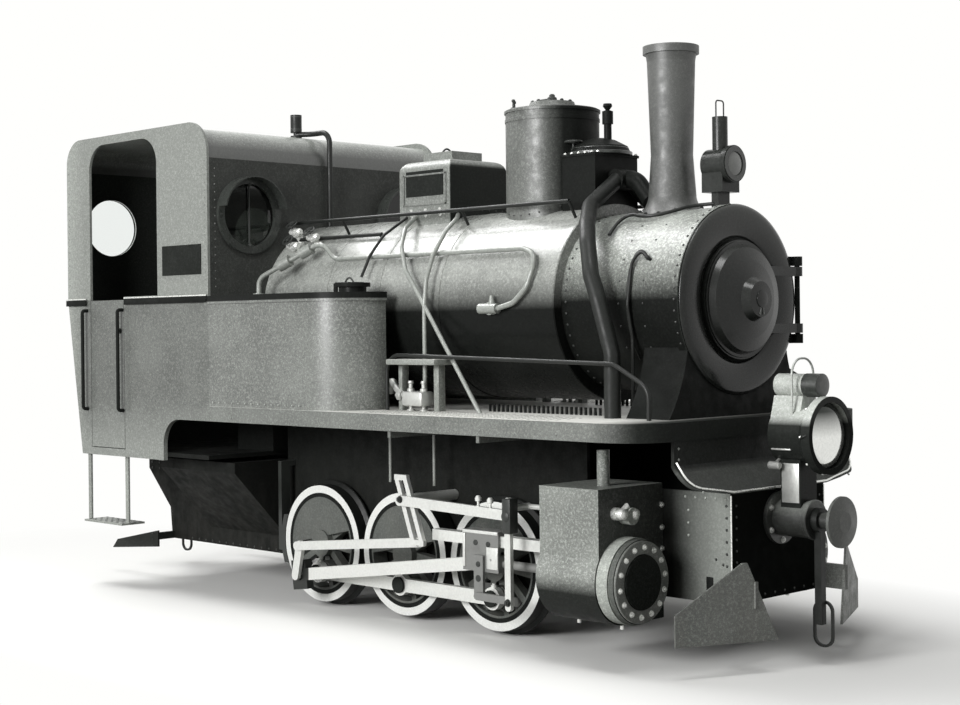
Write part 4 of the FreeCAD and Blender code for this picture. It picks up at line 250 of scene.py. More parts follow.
def paint(name, colour, rough, speckle=0.4, dust=0.0, bump=0.15, coat=0.0, ledges=0.0, gleam=0.5, zones=()):
    """Brushed paint on plate: stippled grain, cloudy tone, faint ripples, dust low down, and pale patches on faces
    that look up, partly dust and partly a painted highlight of the light from above.

    Each zone names an axis, where it starts, where it is full, and its colour; many zones are painted shade or
    painted highlight, such as a lower half or a face turned from the light painted darker.
    """
    r = Recipe(name)
    grain = r.noise(62, 3, 0.8)
    fine = r.noise(300, 2, 0.6)
    cloud = r.spread(r.noise(2.6, 5), 0, 1)
    toned = r.blend(cloud, shade(colour, 1 - speckle / 3), shade(colour, 1 + speckle / 3))
    toned = r.blend(r.spread(grain, 0, speckle, 0.48, 0.64), toned, shade(colour, 2.2))
    toned = r.blend(r.spread(fine, 0, speckle, 0.52, 0.40), toned, shade(colour, 0.35))
    if dust:
        streak = r.spread(r.noise(9, 5, 0.6, r.stretch((1, 1, 0.25))), 0, dust)
        toned = r.blend(r.times(r.along("Z", 1.1, 0.2), streak), toned, DUST)
    # Faces that look up get pale patches, partly dust and partly a painted highlight of the light from above.
    if ledges:
        patch = r.spread(r.noise(22, 5, 0.7), ledges * 0.5, ledges)
        toned = r.blend(r.times(r.along("up", 0.6, 0.95), patch), toned, LEDGE_DUST_AND_HIGHLIGHT)
    shine = None
    for axis, start, end, other in zones:
        zone = r.blend(r.spread(grain, 0, speckle, 0.46, 0.68), other, shade(other, 1.8))
        zone = r.blend(r.spread(fine, 0, speckle, 0.52, 0.34), zone, shade(other, 0.5))
        inside = r.along(axis, start, end)
        toned = r.blend(inside, toned, zone)
        if other[0] < MATT_BELOW:
            matt = r.spread(inside, 1, MATT_SHARE, 0, 1)
            shine = r.times(shine, matt) if shine else matt

    def dimmed(amount):
        return r.spread(shine, 0, amount, 0, 1) if shine else amount

    r.give({"Base Color": toned, "Specular IOR Level": dimmed(gleam), "Coat Weight": dimmed(coat),
            "Coat Roughness": 0.24,
            "Roughness": r.spread(r.noise(14, 4), rough * 0.82, min(rough * 1.2, 1))})
    r.bump(r.noise(60, 3), bump, 0.0012)
    return r.material


def steel(name, colour, rough, stain=0.25, metallic=0.4, zones=()):
    """Machined steel with fine tool marks, oil stains and zones of other colours."""
    r = Recipe(name)
    marks = r.noise(70, 2, 0.5)
    toned = r.blend(r.spread(marks, 0, 1), shade(colour, 0.95), shade(colour, 1.04))
    toned = r.blend(r.spread(r.noise(5, 5, 0.6), 0, stain, 0.55, 0.85), toned, shade(colour, 0.4))
    for axis, start, end, other in zones:
        toned = r.blend(r.along(axis, start, end), toned, other)
    r.give({"Base Color": toned, "Metallic": metallic,
            "Roughness": r.spread(marks, rough * 0.8, rough * 1.25)})
    r.bump(marks, 0.03, 0.0003)
    return r.material


def casting(name, colour, rough, gleam):
    """Rough cast iron under thin paint."""
    r = Recipe(name)
    pits = r.noise(140, 4, 0.7)
    toned = r.blend(r.spread(r.noise(5, 4), 0, 1), shade(colour, 0.75), shade(colour, 1.35))
    r.give({"Base Color": r.blend(r.spread(pits, 0, 0.4, 0.5, 0.7), toned, shade(colour, 2.3)),
            "Specular IOR Level": gleam,
            "Roughness": r.spread(pits, rough * 0.8, min(1, rough * 1.2))})
    r.bump(pits, 0.3, 0.0016)
    return r.material


def glazing(name):
    """Clear panes at the rear; the front panes are tinted near black, a painted shade of the dark cab seen through
    them.
    """
    r = Recipe(name)
    tint = r.blend(r.along("X", -2.1, -2.0), (0.9, 0.93, 0.92, 1), (0.012, 0.014, 0.012, 1))
    r.give({"Base Color": tint, "Roughness": 0.03, "Transmission Weight": 1, "IOR": 1.45})
    r.bump(r.noise(4, 2), 0.05, 0.001)
    return r.material


FINISHES = {}
# The finish of a imported node, by its material slot
BY_SLOT = {"paint_body": "cab", "paint_black": "black", "cladding": "boiler", "paint_frame": "frame",
           "wheel_paint": "wheels", "tyre_steel": "tyres", "rod_steel": "rods", "cast_dark": "iron",
           "pipe_metal": "pipes", "brass": "brass", "lamp_paint": "lamp", "glass": "glass"}
# Nodes with a finish of their own, by name or by name without its last word
BY_NODE = {"side_tank": "tank_banded", "cab_front": "cab_front", "cab_rear": "cab_rear", "cab_roof": "roof",
           "running_board": "board", "front_apron": "apron", "cylinder": "cylinder",
           "smokebox": "smokebox", "smokebox_door": "door", "smokebox_saddle": "black",
           "chimney": "chimney", "dome": "dome", "sandbox": "sandbox", "buffer": "buffer",
           "crosshead": "crosshead", "valve_gear": "bars", "steam_pipes": "steam_pipe",
           "handrails": "handrails", "blank_plates": "plates", "rail_guards": "guards",
           "couplings": "dark_pipe", "tank_lid": "black", "connecting_rod_right": "rods_right",
           "connecting_rod_left": "rods_left", "boiler_rods": "dark_pipe", "top_lamp": "top_lamp",
           "cab_steps": "steps", "whistle": "dark_pipe", "window_rims": "rims"}


def make_finishes():
    look = looks()

    def shades(base):
        return lambda factor=1.0: shade(base, factor)

    def add(make, key, *values, **more):
        title = "".join(word.title() for word in key.split("_"))
        FINISHES[key] = make(title + make.__name__.title(), *values, **more)

    grey, black, metal = shades(look.tank_paint), shades(look.black_paint), shades(look.bright_steel)
    # The second black is both a deep black and painted shade on faces turned from the light; the third is painted
    # shade inside the cab and in the middles of the cylinder covers.
    dull, black_and_shade, inside = black(0.55), black(1.4), black(2.0)
    # The cab sides are lighter above the belt and towards the bottom below z 1.40, and painted lighter towards the
    # rear edge, a painted highlight.
    cab_zones = [("Z", TANK_TOP - 0.002, TANK_TOP + 0.002, grey(1.4)), ("Z", 1.40, 1.05, grey(1.5)),
                 ("X", -2.75, -3.0, grey(2.0))]
    sand_front, buffer_face = most("sandbox", X), most("buffer_front", X)

    add(paint, "tank", grey(), 0.42, speckle=0.62, coat=0.12)
    add(paint, "tank_banded", grey(0.95), 0.42, speckle=0.8, coat=0.4,
        zones=[("Z", TANK_TOP - 0.043, TANK_TOP - 0.037, dull)])
    # The sandbox's front face is painted dark, a painted shade.
    add(paint, "sandbox", grey(1.3), 0.42, speckle=0.55, coat=0.1,
        zones=[("X", sand_front - 0.012, sand_front - 0.003, black(1.3))])
    # The inner faces of the cab's sides and rear sheet are painted near black, a painted shade inside the cab.
    add(paint, "cab", grey(0.8), 0.42, speckle=0.75, coat=0.12,
        zones=cab_zones + [("side", 1.066, 1.056, inside)])
    add(paint, "cab_rear", grey(0.8), 0.42, speckle=0.75, coat=0.12,
        zones=cab_zones + [("ahead", 0.2, 0.5, inside)])
    # The cab front is the cab paint darkened, a painted shade on the face turned from the light.
    add(paint, "cab_front", grey(0.28), 0.45, speckle=0.55, gleam=0.2)
    # The roof is painted pale, a painted highlight of the light from above, and dark low on its front bend, a
    # painted shade.
    add(paint, "roof", grey(2.2), 0.4, speckle=0.6, coat=0.5, gleam=0.8, zones=[("Z", 3.29, 3.17, grey(0.32))])
    add(paint, "rims", black(2.4), 0.3, coat=0.3, gleam=0.2)
    add(paint, "steps", grey(1.9), 0.5, speckle=0.6, dust=0.2)
    # The boiler is painted dark below its axis, a painted shade.
    add(paint, "boiler", look.boiler_paint, 0.28, speckle=0.55, coat=0.35, bump=0.2, gleam=0.4,
        zones=[("Z", AXIS + 0.17, AXIS - 0.04, dull)])
    # The smokebox is painted dark below its axis and on its front face, a painted shade.
    add(paint, "smokebox", grey(2.0), 0.36, speckle=0.95, coat=0.1, gleam=0.35,
        zones=[("Z", AXIS + 0.25, AXIS, dull), ("X", SMOKEBOX_FRONT - 0.012, SMOKEBOX_FRONT - 0.004, black_and_shade)])
    # The smokebox front and its door are painted lighter towards the top, a painted highlight.
    add(paint, "door", black(1.1), 0.22, speckle=0.5, coat=0.1, gleam=0.22, bump=0.08,
        zones=[("Z", AXIS + 0.12, AXIS + 0.55, grey(0.4))])
    add(paint, "chimney", grey(0.28), 0.5, speckle=0.8, gleam=0.95)
    # The dome is painted darker towards its front, a painted shade on the side turned from the light.
    add(paint, "dome", grey(0.7), 0.45, speckle=0.8, gleam=0.6, zones=[("X", 1.20, 1.33, dull)])
    add(paint, "black", dull, 0.6, gleam=0.08)
    # The frame is painted lighter near its front end, a painted highlight, and its front face keeps the dull
    # black.
    add(paint, "frame", dull, 0.65, dust=0.1, gleam=0.08,
        zones=[("X", 2.38, 2.72, grey(1.7)), ("X", 2.788, 2.792, dull)])
    # The running board is painted darker towards its front corner, a painted shade.
    add(paint, "board", grey(), 0.5, speckle=0.6, ledges=1.5, zones=[("X", 2.34, 2.62, black(1.3))])
    # The apron's lower, sloping plate is painted lighter, a painted highlight where it faces up.
    add(paint, "apron", black(1.2), 0.5, speckle=0.6, gleam=0.1, zones=[("Z", 1.125, 1.10, grey(0.5))])
    # Cylinder zones: the lower barrel dark and the front face dark, painted shade; the cover's outer wall pale, a
    # painted highlight; its bolted ring mid grey and its middle near black, painted shade.
    add(paint, "cylinder", grey(1.6), 0.42, speckle=0.8,
        zones=[("Z", 0.52, 0.42, black(1.2)), ("X", 2.3145, 2.3152, black_and_shade), ("X", 2.3154, 2.3165, grey(2.6)),
               ("X", 2.392, 2.4, grey(0.8)), ("X", 2.4295, 2.4305, inside)])
    add(paint, "guards", grey(), 0.5, speckle=0.7, dust=0.2, zones=[("X", 0.0, -0.1, black(2.2))])
    add(paint, "wheels", look.wheel_paint, 0.5, dust=0.3, gleam=0.3, zones=[("side", 0.601, 0.603, black_and_shade)])
    add(paint, "tyres", dull, 0.5, speckle=0.3, gleam=0.3, zones=[("side", 0.5835, 0.5845, look.pale_paint)])
    add(paint, "rivet", grey(2.2), 0.35, speckle=0.3)
    add(paint, "dark_rivet", black(1.2), 0.4, speckle=0.3)
    # The buffer barrels are painted lighter on top, a painted highlight.
    add(paint, "buffer", grey(0.22), 0.38, speckle=0.5, gleam=0.4,
        zones=[("Z", BUFFER_HEIGHT + 0.02, BUFFER_HEIGHT + 0.09, grey(1.3)),
               ("X", buffer_face - 0.045, buffer_face - 0.04, grey(0.7))])
    add(paint, "pipes", grey(1.7), 0.32, speckle=0.3, coat=0.2)
    add(paint, "steam_pipe", black(0.9), 0.45, speckle=0.5, gleam=0.22)
    add(paint, "handrails", black(0.8), 0.4, speckle=0.3, gleam=0.3,
        zones=[("Z", 1.86, 1.84, grey(1.5)), ("X", 0.25, 0.2, black(0.8))])
    add(paint, "dark_pipe", black(0.8), 0.42, speckle=0.3, gleam=0.25)
    # The head lamp is painted pale above and dark below z 1.34, a painted highlight and painted shade; the rim's
    # front face is dark, painted shade too.
    add(paint, "lamp", grey(3.6), 0.28, coat=0.3,
        zones=[("Z", 1.385, 1.335, black_and_shade), ("X", HEAD_LAMP_FRONT - 0.006, HEAD_LAMP_FRONT - 0.003, black(1.6))])
    add(paint, "top_lamp", black_and_shade, 0.3, speckle=0.5, coat=0.1, gleam=0.2)
    add(paint, "lamp_eye", grey(1.3), 0.08, speckle=0.1, coat=0.6, bump=0.0)
    add(paint, "cover", black(2.4), 0.35, speckle=0.7, coat=0.2)
    add(paint, "plates", black(1.2), 0.7, gleam=0.05)
    add(paint, "chequer", grey(1.6), 0.4, speckle=0.5, ledges=0.9)
    add(steel, "rods", metal(), 0.36)
    add(steel, "rods_right", metal(), 0.36, zones=[("X", -0.43, -0.44, black_and_shade)])
    add(steel, "rods_left", metal(), 0.36, zones=[("X", -0.30, -0.31, black_and_shade)])
    add(steel, "bars", metal(0.95), 0.36, stain=0.4)
    add(steel, "crosshead", metal(0.28), 0.42, stain=0.8, metallic=0.2)
    add(steel, "nut", metal(0.7), 0.35, stain=0.5)
    add(steel, "bright", metal(1.1), 0.28, stain=0.3)
    add(steel, "edge", metal(1.1), 0.3, stain=0.2, metallic=0.7)
    add(steel, "brass", (0.085, 0.072, 0.048, 1), 0.42, stain=0.6, metallic=0.5)
    # The head lamp's lens is an opaque metallic disc, pale below and painted dark towards the top, a painted
    # reflection.
    add(steel, "lens", (0.9, 0.91, 0.88, 1), 0.12, stain=0.05, metallic=0.75,
        zones=[("Z", 1.27, 1.41, black(2.6))])
    add(casting, "iron", black(1.5), 0.45, 0.35)
    add(glazing, "glass")


def paint_nodes():
    for entry in frame["record"]["subparts"]:
        node = entry["node"]
        key = BY_NODE.get(node) or BY_NODE.get(node.rsplit("_", 1)[0]) or BY_SLOT[entry["material_slot"]]
        materials = bpy.data.objects[node].data.materials
        materials.clear()
        materials.append(FINISHES[key])


def square_to(axis):
    """Two directions square to an axis and to each other."""
    axis = Vector(axis).normalized()
    across = (UP if abs(axis.z) < 0.9 else AHEAD).cross(axis).normalized()
    return across, axis.cross(across)


def spoke(across, up, turn):
    return across * math.cos(turn) + up * math.sin(turn)


def turns(count, first=0.0):
    """Equal turns of a full circle, in radians."""
    return [math.tau * (step + first) / count for step in range(count)]


def settle(name, mesh, body):
    thing = bpy.data.objects.new(name, mesh)
    bpy.context.scene.collection.objects.link(thing)
    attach(thing, body)


class Shaper:
    """Collects the closed forms of one piece."""

    def __init__(self):
        self.mesh = bmesh.new()

    def ring(self, centre, across, up, radius, sides):
        return [self.mesh.verts.new(centre + spoke(across, up, turn) * radius) for turn in turns(sides)]

    def skin(self, rings, caps=True):
        pairs = list(zip(rings, rings[1:]))
        if not caps:
            pairs.append((rings[-1], rings[0]))
        new, faces = self.mesh.faces.new, []
        for first, second in pairs:
            for index in range(len(first)):
                after = (index + 1) % len(first)
                faces.append(new((first[index], first[after], second[after], second[index])))
        if caps:
            faces += [new(rings[0][::-1]), new(rings[-1])]
        bmesh.ops.recalc_face_normals(self.mesh, faces=faces)
        return self

    def turned(self, start, axis, profile, sides=28, caps=True, scale=(0.001, 0.001)):
        """A lathe form: the profile lists distances along the axis and radii, in millimetres by default."""
        start, axis = Vector(start), Vector(axis).normalized()
        across, up = square_to(axis)
        rings = [self.ring(start + axis * along * scale[0], across, up, max(radius * scale[1], 0.0004), sides)
                 for along, radius in profile]
        return self.skin(rings, caps)

    def hoop(self, start, axis, inner, outer, width, sides=72):
        """A flat ring with soft edges."""
        soft = min(width, outer - inner) * 0.2
        profile = [(0, inner), (0, outer - soft), (soft, outer), (width - soft, outer), (width, outer - soft),
                   (width, inner)]
        return self.turned(start, axis, profile, sides, False, (1, 1))

    def tube(self, points, radius, sides=10):
        points = [Vector(point) for point in points]
        heading = (points[1] - points[0]).normalized()
        across, up = square_to(heading)
        rings = []
        for index, point in enumerate(points):
            before, after = points[max(index - 1, 0)], points[min(index + 1, len(points) - 1)]
            new = (after - before).normalized()
            turn = heading.rotation_difference(new)
            across, up, heading = turn @ across, turn @ up, new
            rings.append(self.ring(point, across, up, radius, sides))
        return self.skin(rings)

    def block(self, corner, opposite, soft=0.004):
        """A box between two opposite corners, its edges rounded."""
        low = Vector([min(pair) for pair in zip(corner, opposite)])
        high = Vector([max(pair) for pair in zip(corner, opposite)])
        shape = Matrix.Translation((low + high) / 2) @ Matrix.Diagonal((*(high - low), 1))
        made = bmesh.ops.create_cube(self.mesh, size=1, matrix=shape)["verts"]
        edges = list({edge for vert in made for edge in vert.link_edges})
        bmesh.ops.bevel(self.mesh, geom=edges, offset=min(soft, min(high - low) * 0.3), segments=2,
                        profile=0.5, affect="EDGES")
        return self

    def ball(self, centre, radius):
        profile = [(-math.cos(turn), math.sin(turn)) for turn in (math.pi * step / 8 for step in range(9))]
        return self.turned(centre, UP, profile, 16, scale=(radius, radius))

    def handwheel(self, centre, axis, radius, wire):
        """A small handwheel with a round rim, a hub and four spokes."""
        centre, axis = Vector(centre), Vector(axis).normalized()
        across, up = square_to(axis)
        outward = [spoke(across, up, turn) for turn in turns(20)]
        self.skin([self.ring(centre + out * radius, out, axis, wire, 8) for out in outward], caps=False)
        self.turned(centre - axis * wire * 1.6, axis, [(0, 1.4), (0.5, 2), (2.7, 2), (3.2, 1.4)], 12,
                    scale=(wire, wire))
        for out in outward[::5]:
            self.tube([centre + out * wire, centre + out * radius], wire * 0.6, 6)
        return self

    def nut(self, place, axis, radius, length):
        """A hexagon nut with a collar on a pipe."""
        start, scale = Vector(place) - Vector(axis).normalized() * length / 2, (length, radius)
        self.turned(start, axis, [(0, 0.8), (0.1, 1), (0.6, 1), (0.7, 0.85)], 6, scale=scale)
        return self.turned(start, axis, [(0.65, 0.8), (0.68, 0.88), (1, 0.88), (1.02, 0.8)], 16, scale=scale)

    def finish(self, name, key, body=BODY, slot=None, angle=32):
        mesh = bpy.data.meshes.new(name)
        self.mesh.to_mesh(mesh)
        self.mesh.free()
        mesh.materials.append(FINISHES[key])
        mesh.polygons.foreach_set("use_smooth", [True] * len(mesh.polygons))
        mesh.set_sharp_from_angle(angle=math.radians(angle))
        settle(name, mesh, body)


class Spots:
    """Places for fasteners, each with the way that its head faces."""

    def __init__(self):
        self.points = []

    def one(self, place, facing):
        self.points.append((Vector(place), Vector(facing).normalized()))
        return self

    def row(self, start, end, count, facing):
        start, end = Vector(start), Vector(end)
        for index in range(count):
            self.one(start.lerp(end, index / (count - 1)), facing)
        return self

    def circle(self, centre, axis, radius, count, first=0.0, radial=False):
        across, up = square_to(axis)
        for turn in turns(count):
            out = spoke(across, up, turn + math.radians(first))
            self.one(Vector(centre) + out * radius, out if radial else axis)
        return self

    def both_sides(self):
        flip = Vector((1, -1, 1))
        self.points += [(place * flip, facing * flip) for place, facing in self.points]
        return self

    def heads(self, name, key, kind="RivetHeads", radius=None, height=None, length=0.03, body=BODY, slot=None):
        """Makes one mesh of all the fasteners of a group."""
        look = looks()
        rivets = kind == "RivetHeads"
        radius = radius or (look.rivet_radius if rivets else look.bolt_radius)
        values = {"Head radius": radius, "Head height": height or radius * (0.6 if rivets else 0.75),
                  "Length": length, "Turn seed": look.turn_seed, "Finish": FINISHES[key]}
        mesh = bpy.data.meshes.new(name + "Places")
        mesh.from_pydata([place for place, facing in self.points], [], [])
        facing = mesh.attributes.new("facing", "FLOAT_VECTOR", "POINT")
        facing.data.foreach_set("vector", [number for place, way in self.points for number in way])
        carrier = bpy.data.objects.new(name + "Carrier", mesh)
        bpy.context.scene.collection.objects.link(carrier)
        modifier = carrier.modifiers.new(kind, "NODES")
        modifier.node_group = bpy.data.node_groups.get(kind) or fastener_tree(kind)
        for item in modifier.node_group.interface.items_tree:
            if item.name in values:
                modifier[item.identifier] = values[item.name]
        ready = carrier.evaluated_get(bpy.context.evaluated_depsgraph_get())
        made = bpy.data.meshes.new_from_object(ready)
        made.name = name
        bpy.data.objects.remove(carrier)
        if not made.polygons:
            raise RuntimeError("no heads were made for " + name)
        made.polygons.foreach_set("use_smooth", [rivets] * len(made.polygons))
        settle(name, made, body)


def fastener_tree(kind):
    """Sets one fastener on each point, turned the way that the point faces."""
    tree = bpy.data.node_groups.new(kind, "GeometryNodeTree")
    for name, form, value in (("Points", "Geometry", None), ("Head radius", "Float", 0.01),
                              ("Head height", "Float", 0.006), ("Length", "Float", 0.03),
                              ("Turn seed", "Int", 7), ("Finish", "Material", None)):
        socket = tree.interface.new_socket(name, in_out="INPUT", socket_type="NodeSocket" + form)
        if value is not None:
            socket.default_value = value
    tree.interface.new_socket("Heads", in_out="OUTPUT", socket_type="NodeSocketGeometry")
    g = Graph(tree)
    source = g.node("NodeGroupInput").outputs
    radius, height = source["Head radius"], source["Head height"]

    def transformed(mesh, key, x, y, z):
        vector = g.add("ShaderNodeCombineXYZ", {"X": x, "Y": y, "Z": z})
        return g.add("GeometryNodeTransform", {"Geometry": mesh, key: vector})

    def cylinder(sides, wide, tall):
        return g.add("GeometryNodeMeshCylinder", {"Vertices": sides, "Radius": wide, "Depth": tall})

    if kind == "BoltHeads":
        join = g.node("GeometryNodeJoinGeometry")
        for sides, wide, tall, lift in ((6, radius, height, 0.62),
                                        (12, g.times(radius, 1.28), g.times(height, 0.3), 0.05),
                                        (8, g.times(radius, 0.52), height, 1.05)):
            part = transformed(cylinder(sides, wide, tall), "Translation", 0, 0, g.times(height, lift))
            g.fill(join.inputs[0], part)
        head = join.outputs[0]
    elif kind == "RivetHeads":
        ball = g.add("GeometryNodeMeshUVSphere", {"Segments": 8, "Rings": 5, "Radius": 1})
        head = transformed(ball, "Scale", radius, radius, height)
    else:
        head = transformed(cylinder(8, 1, 1), "Scale", radius, source["Length"], height)
    facing = g.add("GeometryNodeInputNamedAttribute", {"Name": "facing"}, "Attribute", data_type="FLOAT_VECTOR")
    turn = g.add("FunctionNodeAlignRotationToVector", {"Vector": facing}, axis="Z")
    if kind == "BoltHeads":
        chance = g.add("FunctionNodeRandomValue", {3: math.tau / 6, "Seed": source["Turn seed"]}, 1,
                       data_type="FLOAT")
        spin = g.add("FunctionNodeAxisAngleToRotation", {"Axis": UP, "Angle": chance})
        turn = g.add("FunctionNodeRotateRotation", {"Rotation": turn, "Rotate By": spin},
                     rotation_space="LOCAL")
    heads = g.add("GeometryNodeInstanceOnPoints",
                  {"Points": source["Points"], "Instance": head, "Rotation": turn})
    real = g.add("GeometryNodeRealizeInstances", {"Geometry": heads})
    coat = g.add("GeometryNodeSetMaterial", {"Geometry": real, "Material": source["Finish"]})
    g.node("NodeGroupOutput", {"Heads": coat})
    return tree


def on_boiler(x, degrees, radius, side=-1):
    """A point round the boiler's axis, its angle counted from the top towards one side."""
    turn = math.radians(degrees)
    return Vector((x, side * math.sin(turn) * radius, AXIS + math.cos(turn) * radius))


def away(place):
    """The way out from the boiler's axis at a place."""
    return Vector((0, place.y, place.z - AXIS)).normalized()


def bow(start, bend, end, steps):
    """Points of a smooth bend that starts and ends along the lines to its middle."""
    start, bend, end = Vector(start), Vector(bend), Vector(end)
    return [start * (1 - t) ** 2 + bend * 2 * t * (1 - t) + end * t * t
            for t in (step / steps for step in range(steps + 1))]


def barrel_bow(start, bend, end, steps):
    """A bend through places given as for on_boiler."""
    return bow(on_boiler(*start), on_boiler(*bend), on_boiler(*end), steps)


def smokebox_rivets():
    rims = Spots().circle((SMOKEBOX_FRONT - 0.03, 0, AXIS), AHEAD, SMOKEBOX_RIM, 54, radial=True)
    rims.circle((SMOKEBOX_REAR + 0.035, 0, AXIS), AHEAD, SMOKEBOX, 50, radial=True)
    rims.heads("SmokeboxRivets", "dark_rivet")
    studs = Spots()
    for x, first in ((2.08, 22), (2.26, 36)):
        for side in (-1, 1):
            for degrees in range(first, 130, 14):
                place = on_boiler(x, degrees, SMOKEBOX, side)
                studs.one(place, away(place))
    studs.heads("SmokeboxStuds", "dark_rivet", radius=0.007)


def smokebox_pipes():
    climb = [on_boiler(2.16, degrees, 0.556) for degrees in range(128, 66, -7)]
    hook = barrel_bow((2.165, 66, 0.558), (2.19, 54, 0.575), (2.265, 64, 0.545), 7)
    nut = on_boiler(2.263, 63.8, 0.55)
    blower = Shaper().tube(climb + hook, 0.0065, 8).nut(nut, away(on_boiler(0, 64, 1)), 0.014, 0.024)
    blower.finish("BlowerPipe", "dark_pipe")
    line = barrel_bow((1.90, 46, 0.562), (1.86, 26, 0.575), (1.97, 27, 0.575), 6)
    line += barrel_bow((1.985, 27.5, 0.575), (2.13, 33, 0.565), (2.26, 14, 0.562), 9)[1:]
    line += barrel_bow((2.27, 12.5, 0.562), (2.31, 7, 0.562), (2.40, 5, 0.562), 4)
    Shaper().tube(line, 0.011).finish("LampPipe", "dark_pipe")


def smokebox_door():
    door, front = "smokebox_door", most("smokebox_door", X)
    plate = Shaper().turned((SMOKEBOX_FRONT - 0.001, 0, AXIS), AHEAD,
                            [(0, 360), (0, 548), (6, 551), (14, 546), (21, 530), (25, 505), (24, 440),
                             (16, 385), (10, 362)], 96, caps=False)
    plate.finish("SmokeboxFrontRing", "door", angle=70)
    ring = Shaper().hoop((SMOKEBOX_FRONT + 0.026, 0, AXIS), AHEAD, 0.318, 0.336, 0.008, 64)
    ring.turned((front - 0.012, 0, AXIS), AHEAD, [(0, 52), (12, 50), (16, 30)], 20)
    ring.finish("DoorRing", "door", door)
    lever = Shaper().turned((front - 0.03, 0, AXIS), AHEAD, [(0, 24), (20, 24), (28, 18)], 16)
    foot = Vector((front - 0.008, 0, AXIS))
    for degrees in (80, 100):
        turn = math.radians(degrees)
        lever.tube([foot, foot + Vector((0, math.cos(turn), -math.sin(turn))) * 0.09], 0.007, 8)
    lever.finish("DoorLever", "cover", door)
    rivets = Spots().circle((SMOKEBOX_FRONT + 0.0255, 0, AXIS), AHEAD, 0.327, 36)
    rivets.heads("DoorRivets", "dark_rivet", radius=0.0065, body=door)


def chimney():
    bolts = Spots()
    for turn in turns(12, 0.5):
        y = math.sin(turn) * 0.2
        rise = math.sqrt((SMOKEBOX + 0.012) ** 2 - y * y)
        bolts.one((CHIMNEY_X + math.cos(turn) * 0.186, y, AXIS + rise), (0, y, rise))
    bolts.heads("ChimneyBolts", "dark_rivet", "BoltHeads", radius=0.01)
    bead = (CHIMNEY_X, 0, most("chimney", Z) - 0.075)
    Shaper().hoop(bead, UP, 0.12, 0.142, 0.018, 48).finish("ChimneyBead", "chimney")


def dome():
    Shaper().hoop((DOME_X, 0, DOME_TOP - 0.132), UP, 0.298, 0.304, 0.022).finish("DomeBand", "dome")
    top = (DOME_X, 0, DOME_TOP - 0.002)
    nuts = Spots().circle(top, UP, 0.126, 10)
    nuts.heads("DomeNuts", "iron", "BoltHeads", radius=0.013, slot="paint_black")
    crown = Shaper().turned(top, UP, [(0, 50), (10, 50), (12, 34), (34, 30), (40, 20), (52, 18), (58, 10)], 20)
    crown.block((DOME_X - 0.09, -0.014, DOME_TOP + 0.008), (DOME_X - 0.02, 0.014, DOME_TOP + 0.03))
    for x, y in ((-0.24, -0.10), (-0.19, -0.16), (-0.2, 0.1)):
        crown.turned((DOME_X + x, y, DOME_TOP - 0.042), UP,
                     [(0, 18), (16, 18), (18, 8), (50, 7), (54, 12), (66, 12), (70, 6)], 12)
    crown.finish("DomeFittings", "iron")
    foot = Spots()
    for turn in turns(28):
        out = spoke(AHEAD, Vector((0, 1, 0)), turn)
        rise = math.sqrt(BOILER ** 2 - (out.y * 0.3) ** 2)
        foot.one(out * 0.3015 + Vector((DOME_X, 0, AXIS + rise + 0.03)), out)
    foot.heads("DomeFootRivets", "dark_rivet", radius=0.006)


def regulator():
    rear, front, half, top = 1.345, 1.615, 0.2, 2.958
    seat = top + 0.001
    bolts = Spots()
    for side in (-1, 1):
        y = side * (half + 0.004)
        bolts.row((rear + 0.03, y, seat), (front - 0.02, y, seat), 5, UP)
    bolts.row((front + 0.006, 0.02 - half, seat), (front + 0.006, half - 0.02, seat), 6, UP)
    bolts.heads("RegulatorBolts", "bars", "BoltHeads", radius=0.009)
    foot = Vector((rear + 0.05, 0.05 - half, top - 0.002))
    valve = Shaper().turned(foot, UP, [(0, 26), (12, 26), (16, 15), (40, 15), (46, 8), (85, 8)], 12)
    valve.handwheel(foot + UP * 0.085, UP, 0.05, 0.008).finish("RegulatorHandwheel", "iron")
    centre = (rear + front) / 2
    cap = Shaper().hoop((centre, 0, top - 0.002), UP, 0.19, 0.203, 0.02, 56)
    cap.hoop((centre, 0, top + 0.034), UP, 0.15, 0.181, 0.01, 56).finish("RegulatorCapRings", "cover")


def sandbox():
    low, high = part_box("sandbox")
    rear, front, outer, top = low[X], high[X], high[Y], high[Z]
    lid = Shaper().tube(bow((0.10, -0.05, top - 0.002), (0.10, 0, top + 0.075), (0.10, 0.05, top - 0.002), 10),
                        0.007, 8)
    for y in (-0.06, 0.06):
        lid.block((rear + 0.1, y - 0.02, top - 0.05), (rear + 0.125, y + 0.02, top + 0.006))
    lid.finish("SandboxLidHandle", "iron")
    strips, rivets = Shaper(), Spots()
    for side in (-1, 1):
        near, far = side * (outer + 0.0035), side * (outer + 0.0075)
        for z in (2.715, 2.915):
            strips.block((rear + 0.04, near, z), (front - 0.04, far, z + 0.012), 0.002)
        for x in (rear + 0.04, front - 0.052):
            strips.block((x, near, 2.715), (x + 0.012, far, 2.927), 0.002)
        y = side * (outer + PROUD)
        rivets.row((rear + 0.03, y, 2.66), (front - 0.03, y, 2.66), 9, (0, side, 0))
    strips.finish("SandboxPlateFrames", "tank")
    for x, facing in ((front + PROUD, AHEAD), (rear - PROUD, BACK)):
        rivets.row((x, -0.22, 2.68), (x, 0.22, 2.68), 8, facing)
    rivets.heads("SandboxRivets", "dark_rivet", radius=0.006)


def boiler_bands():
    bands = Shaper()
    for x in (-0.52, 0.02, 0.60, SMOKEBOX_REAR - 0.05):
        bands.hoop((x, 0, AXIS), AHEAD, BOILER - 0.003, BOILER + 0.0035, 0.045, 96)
    bands.finish("BoilerBands", "boiler")


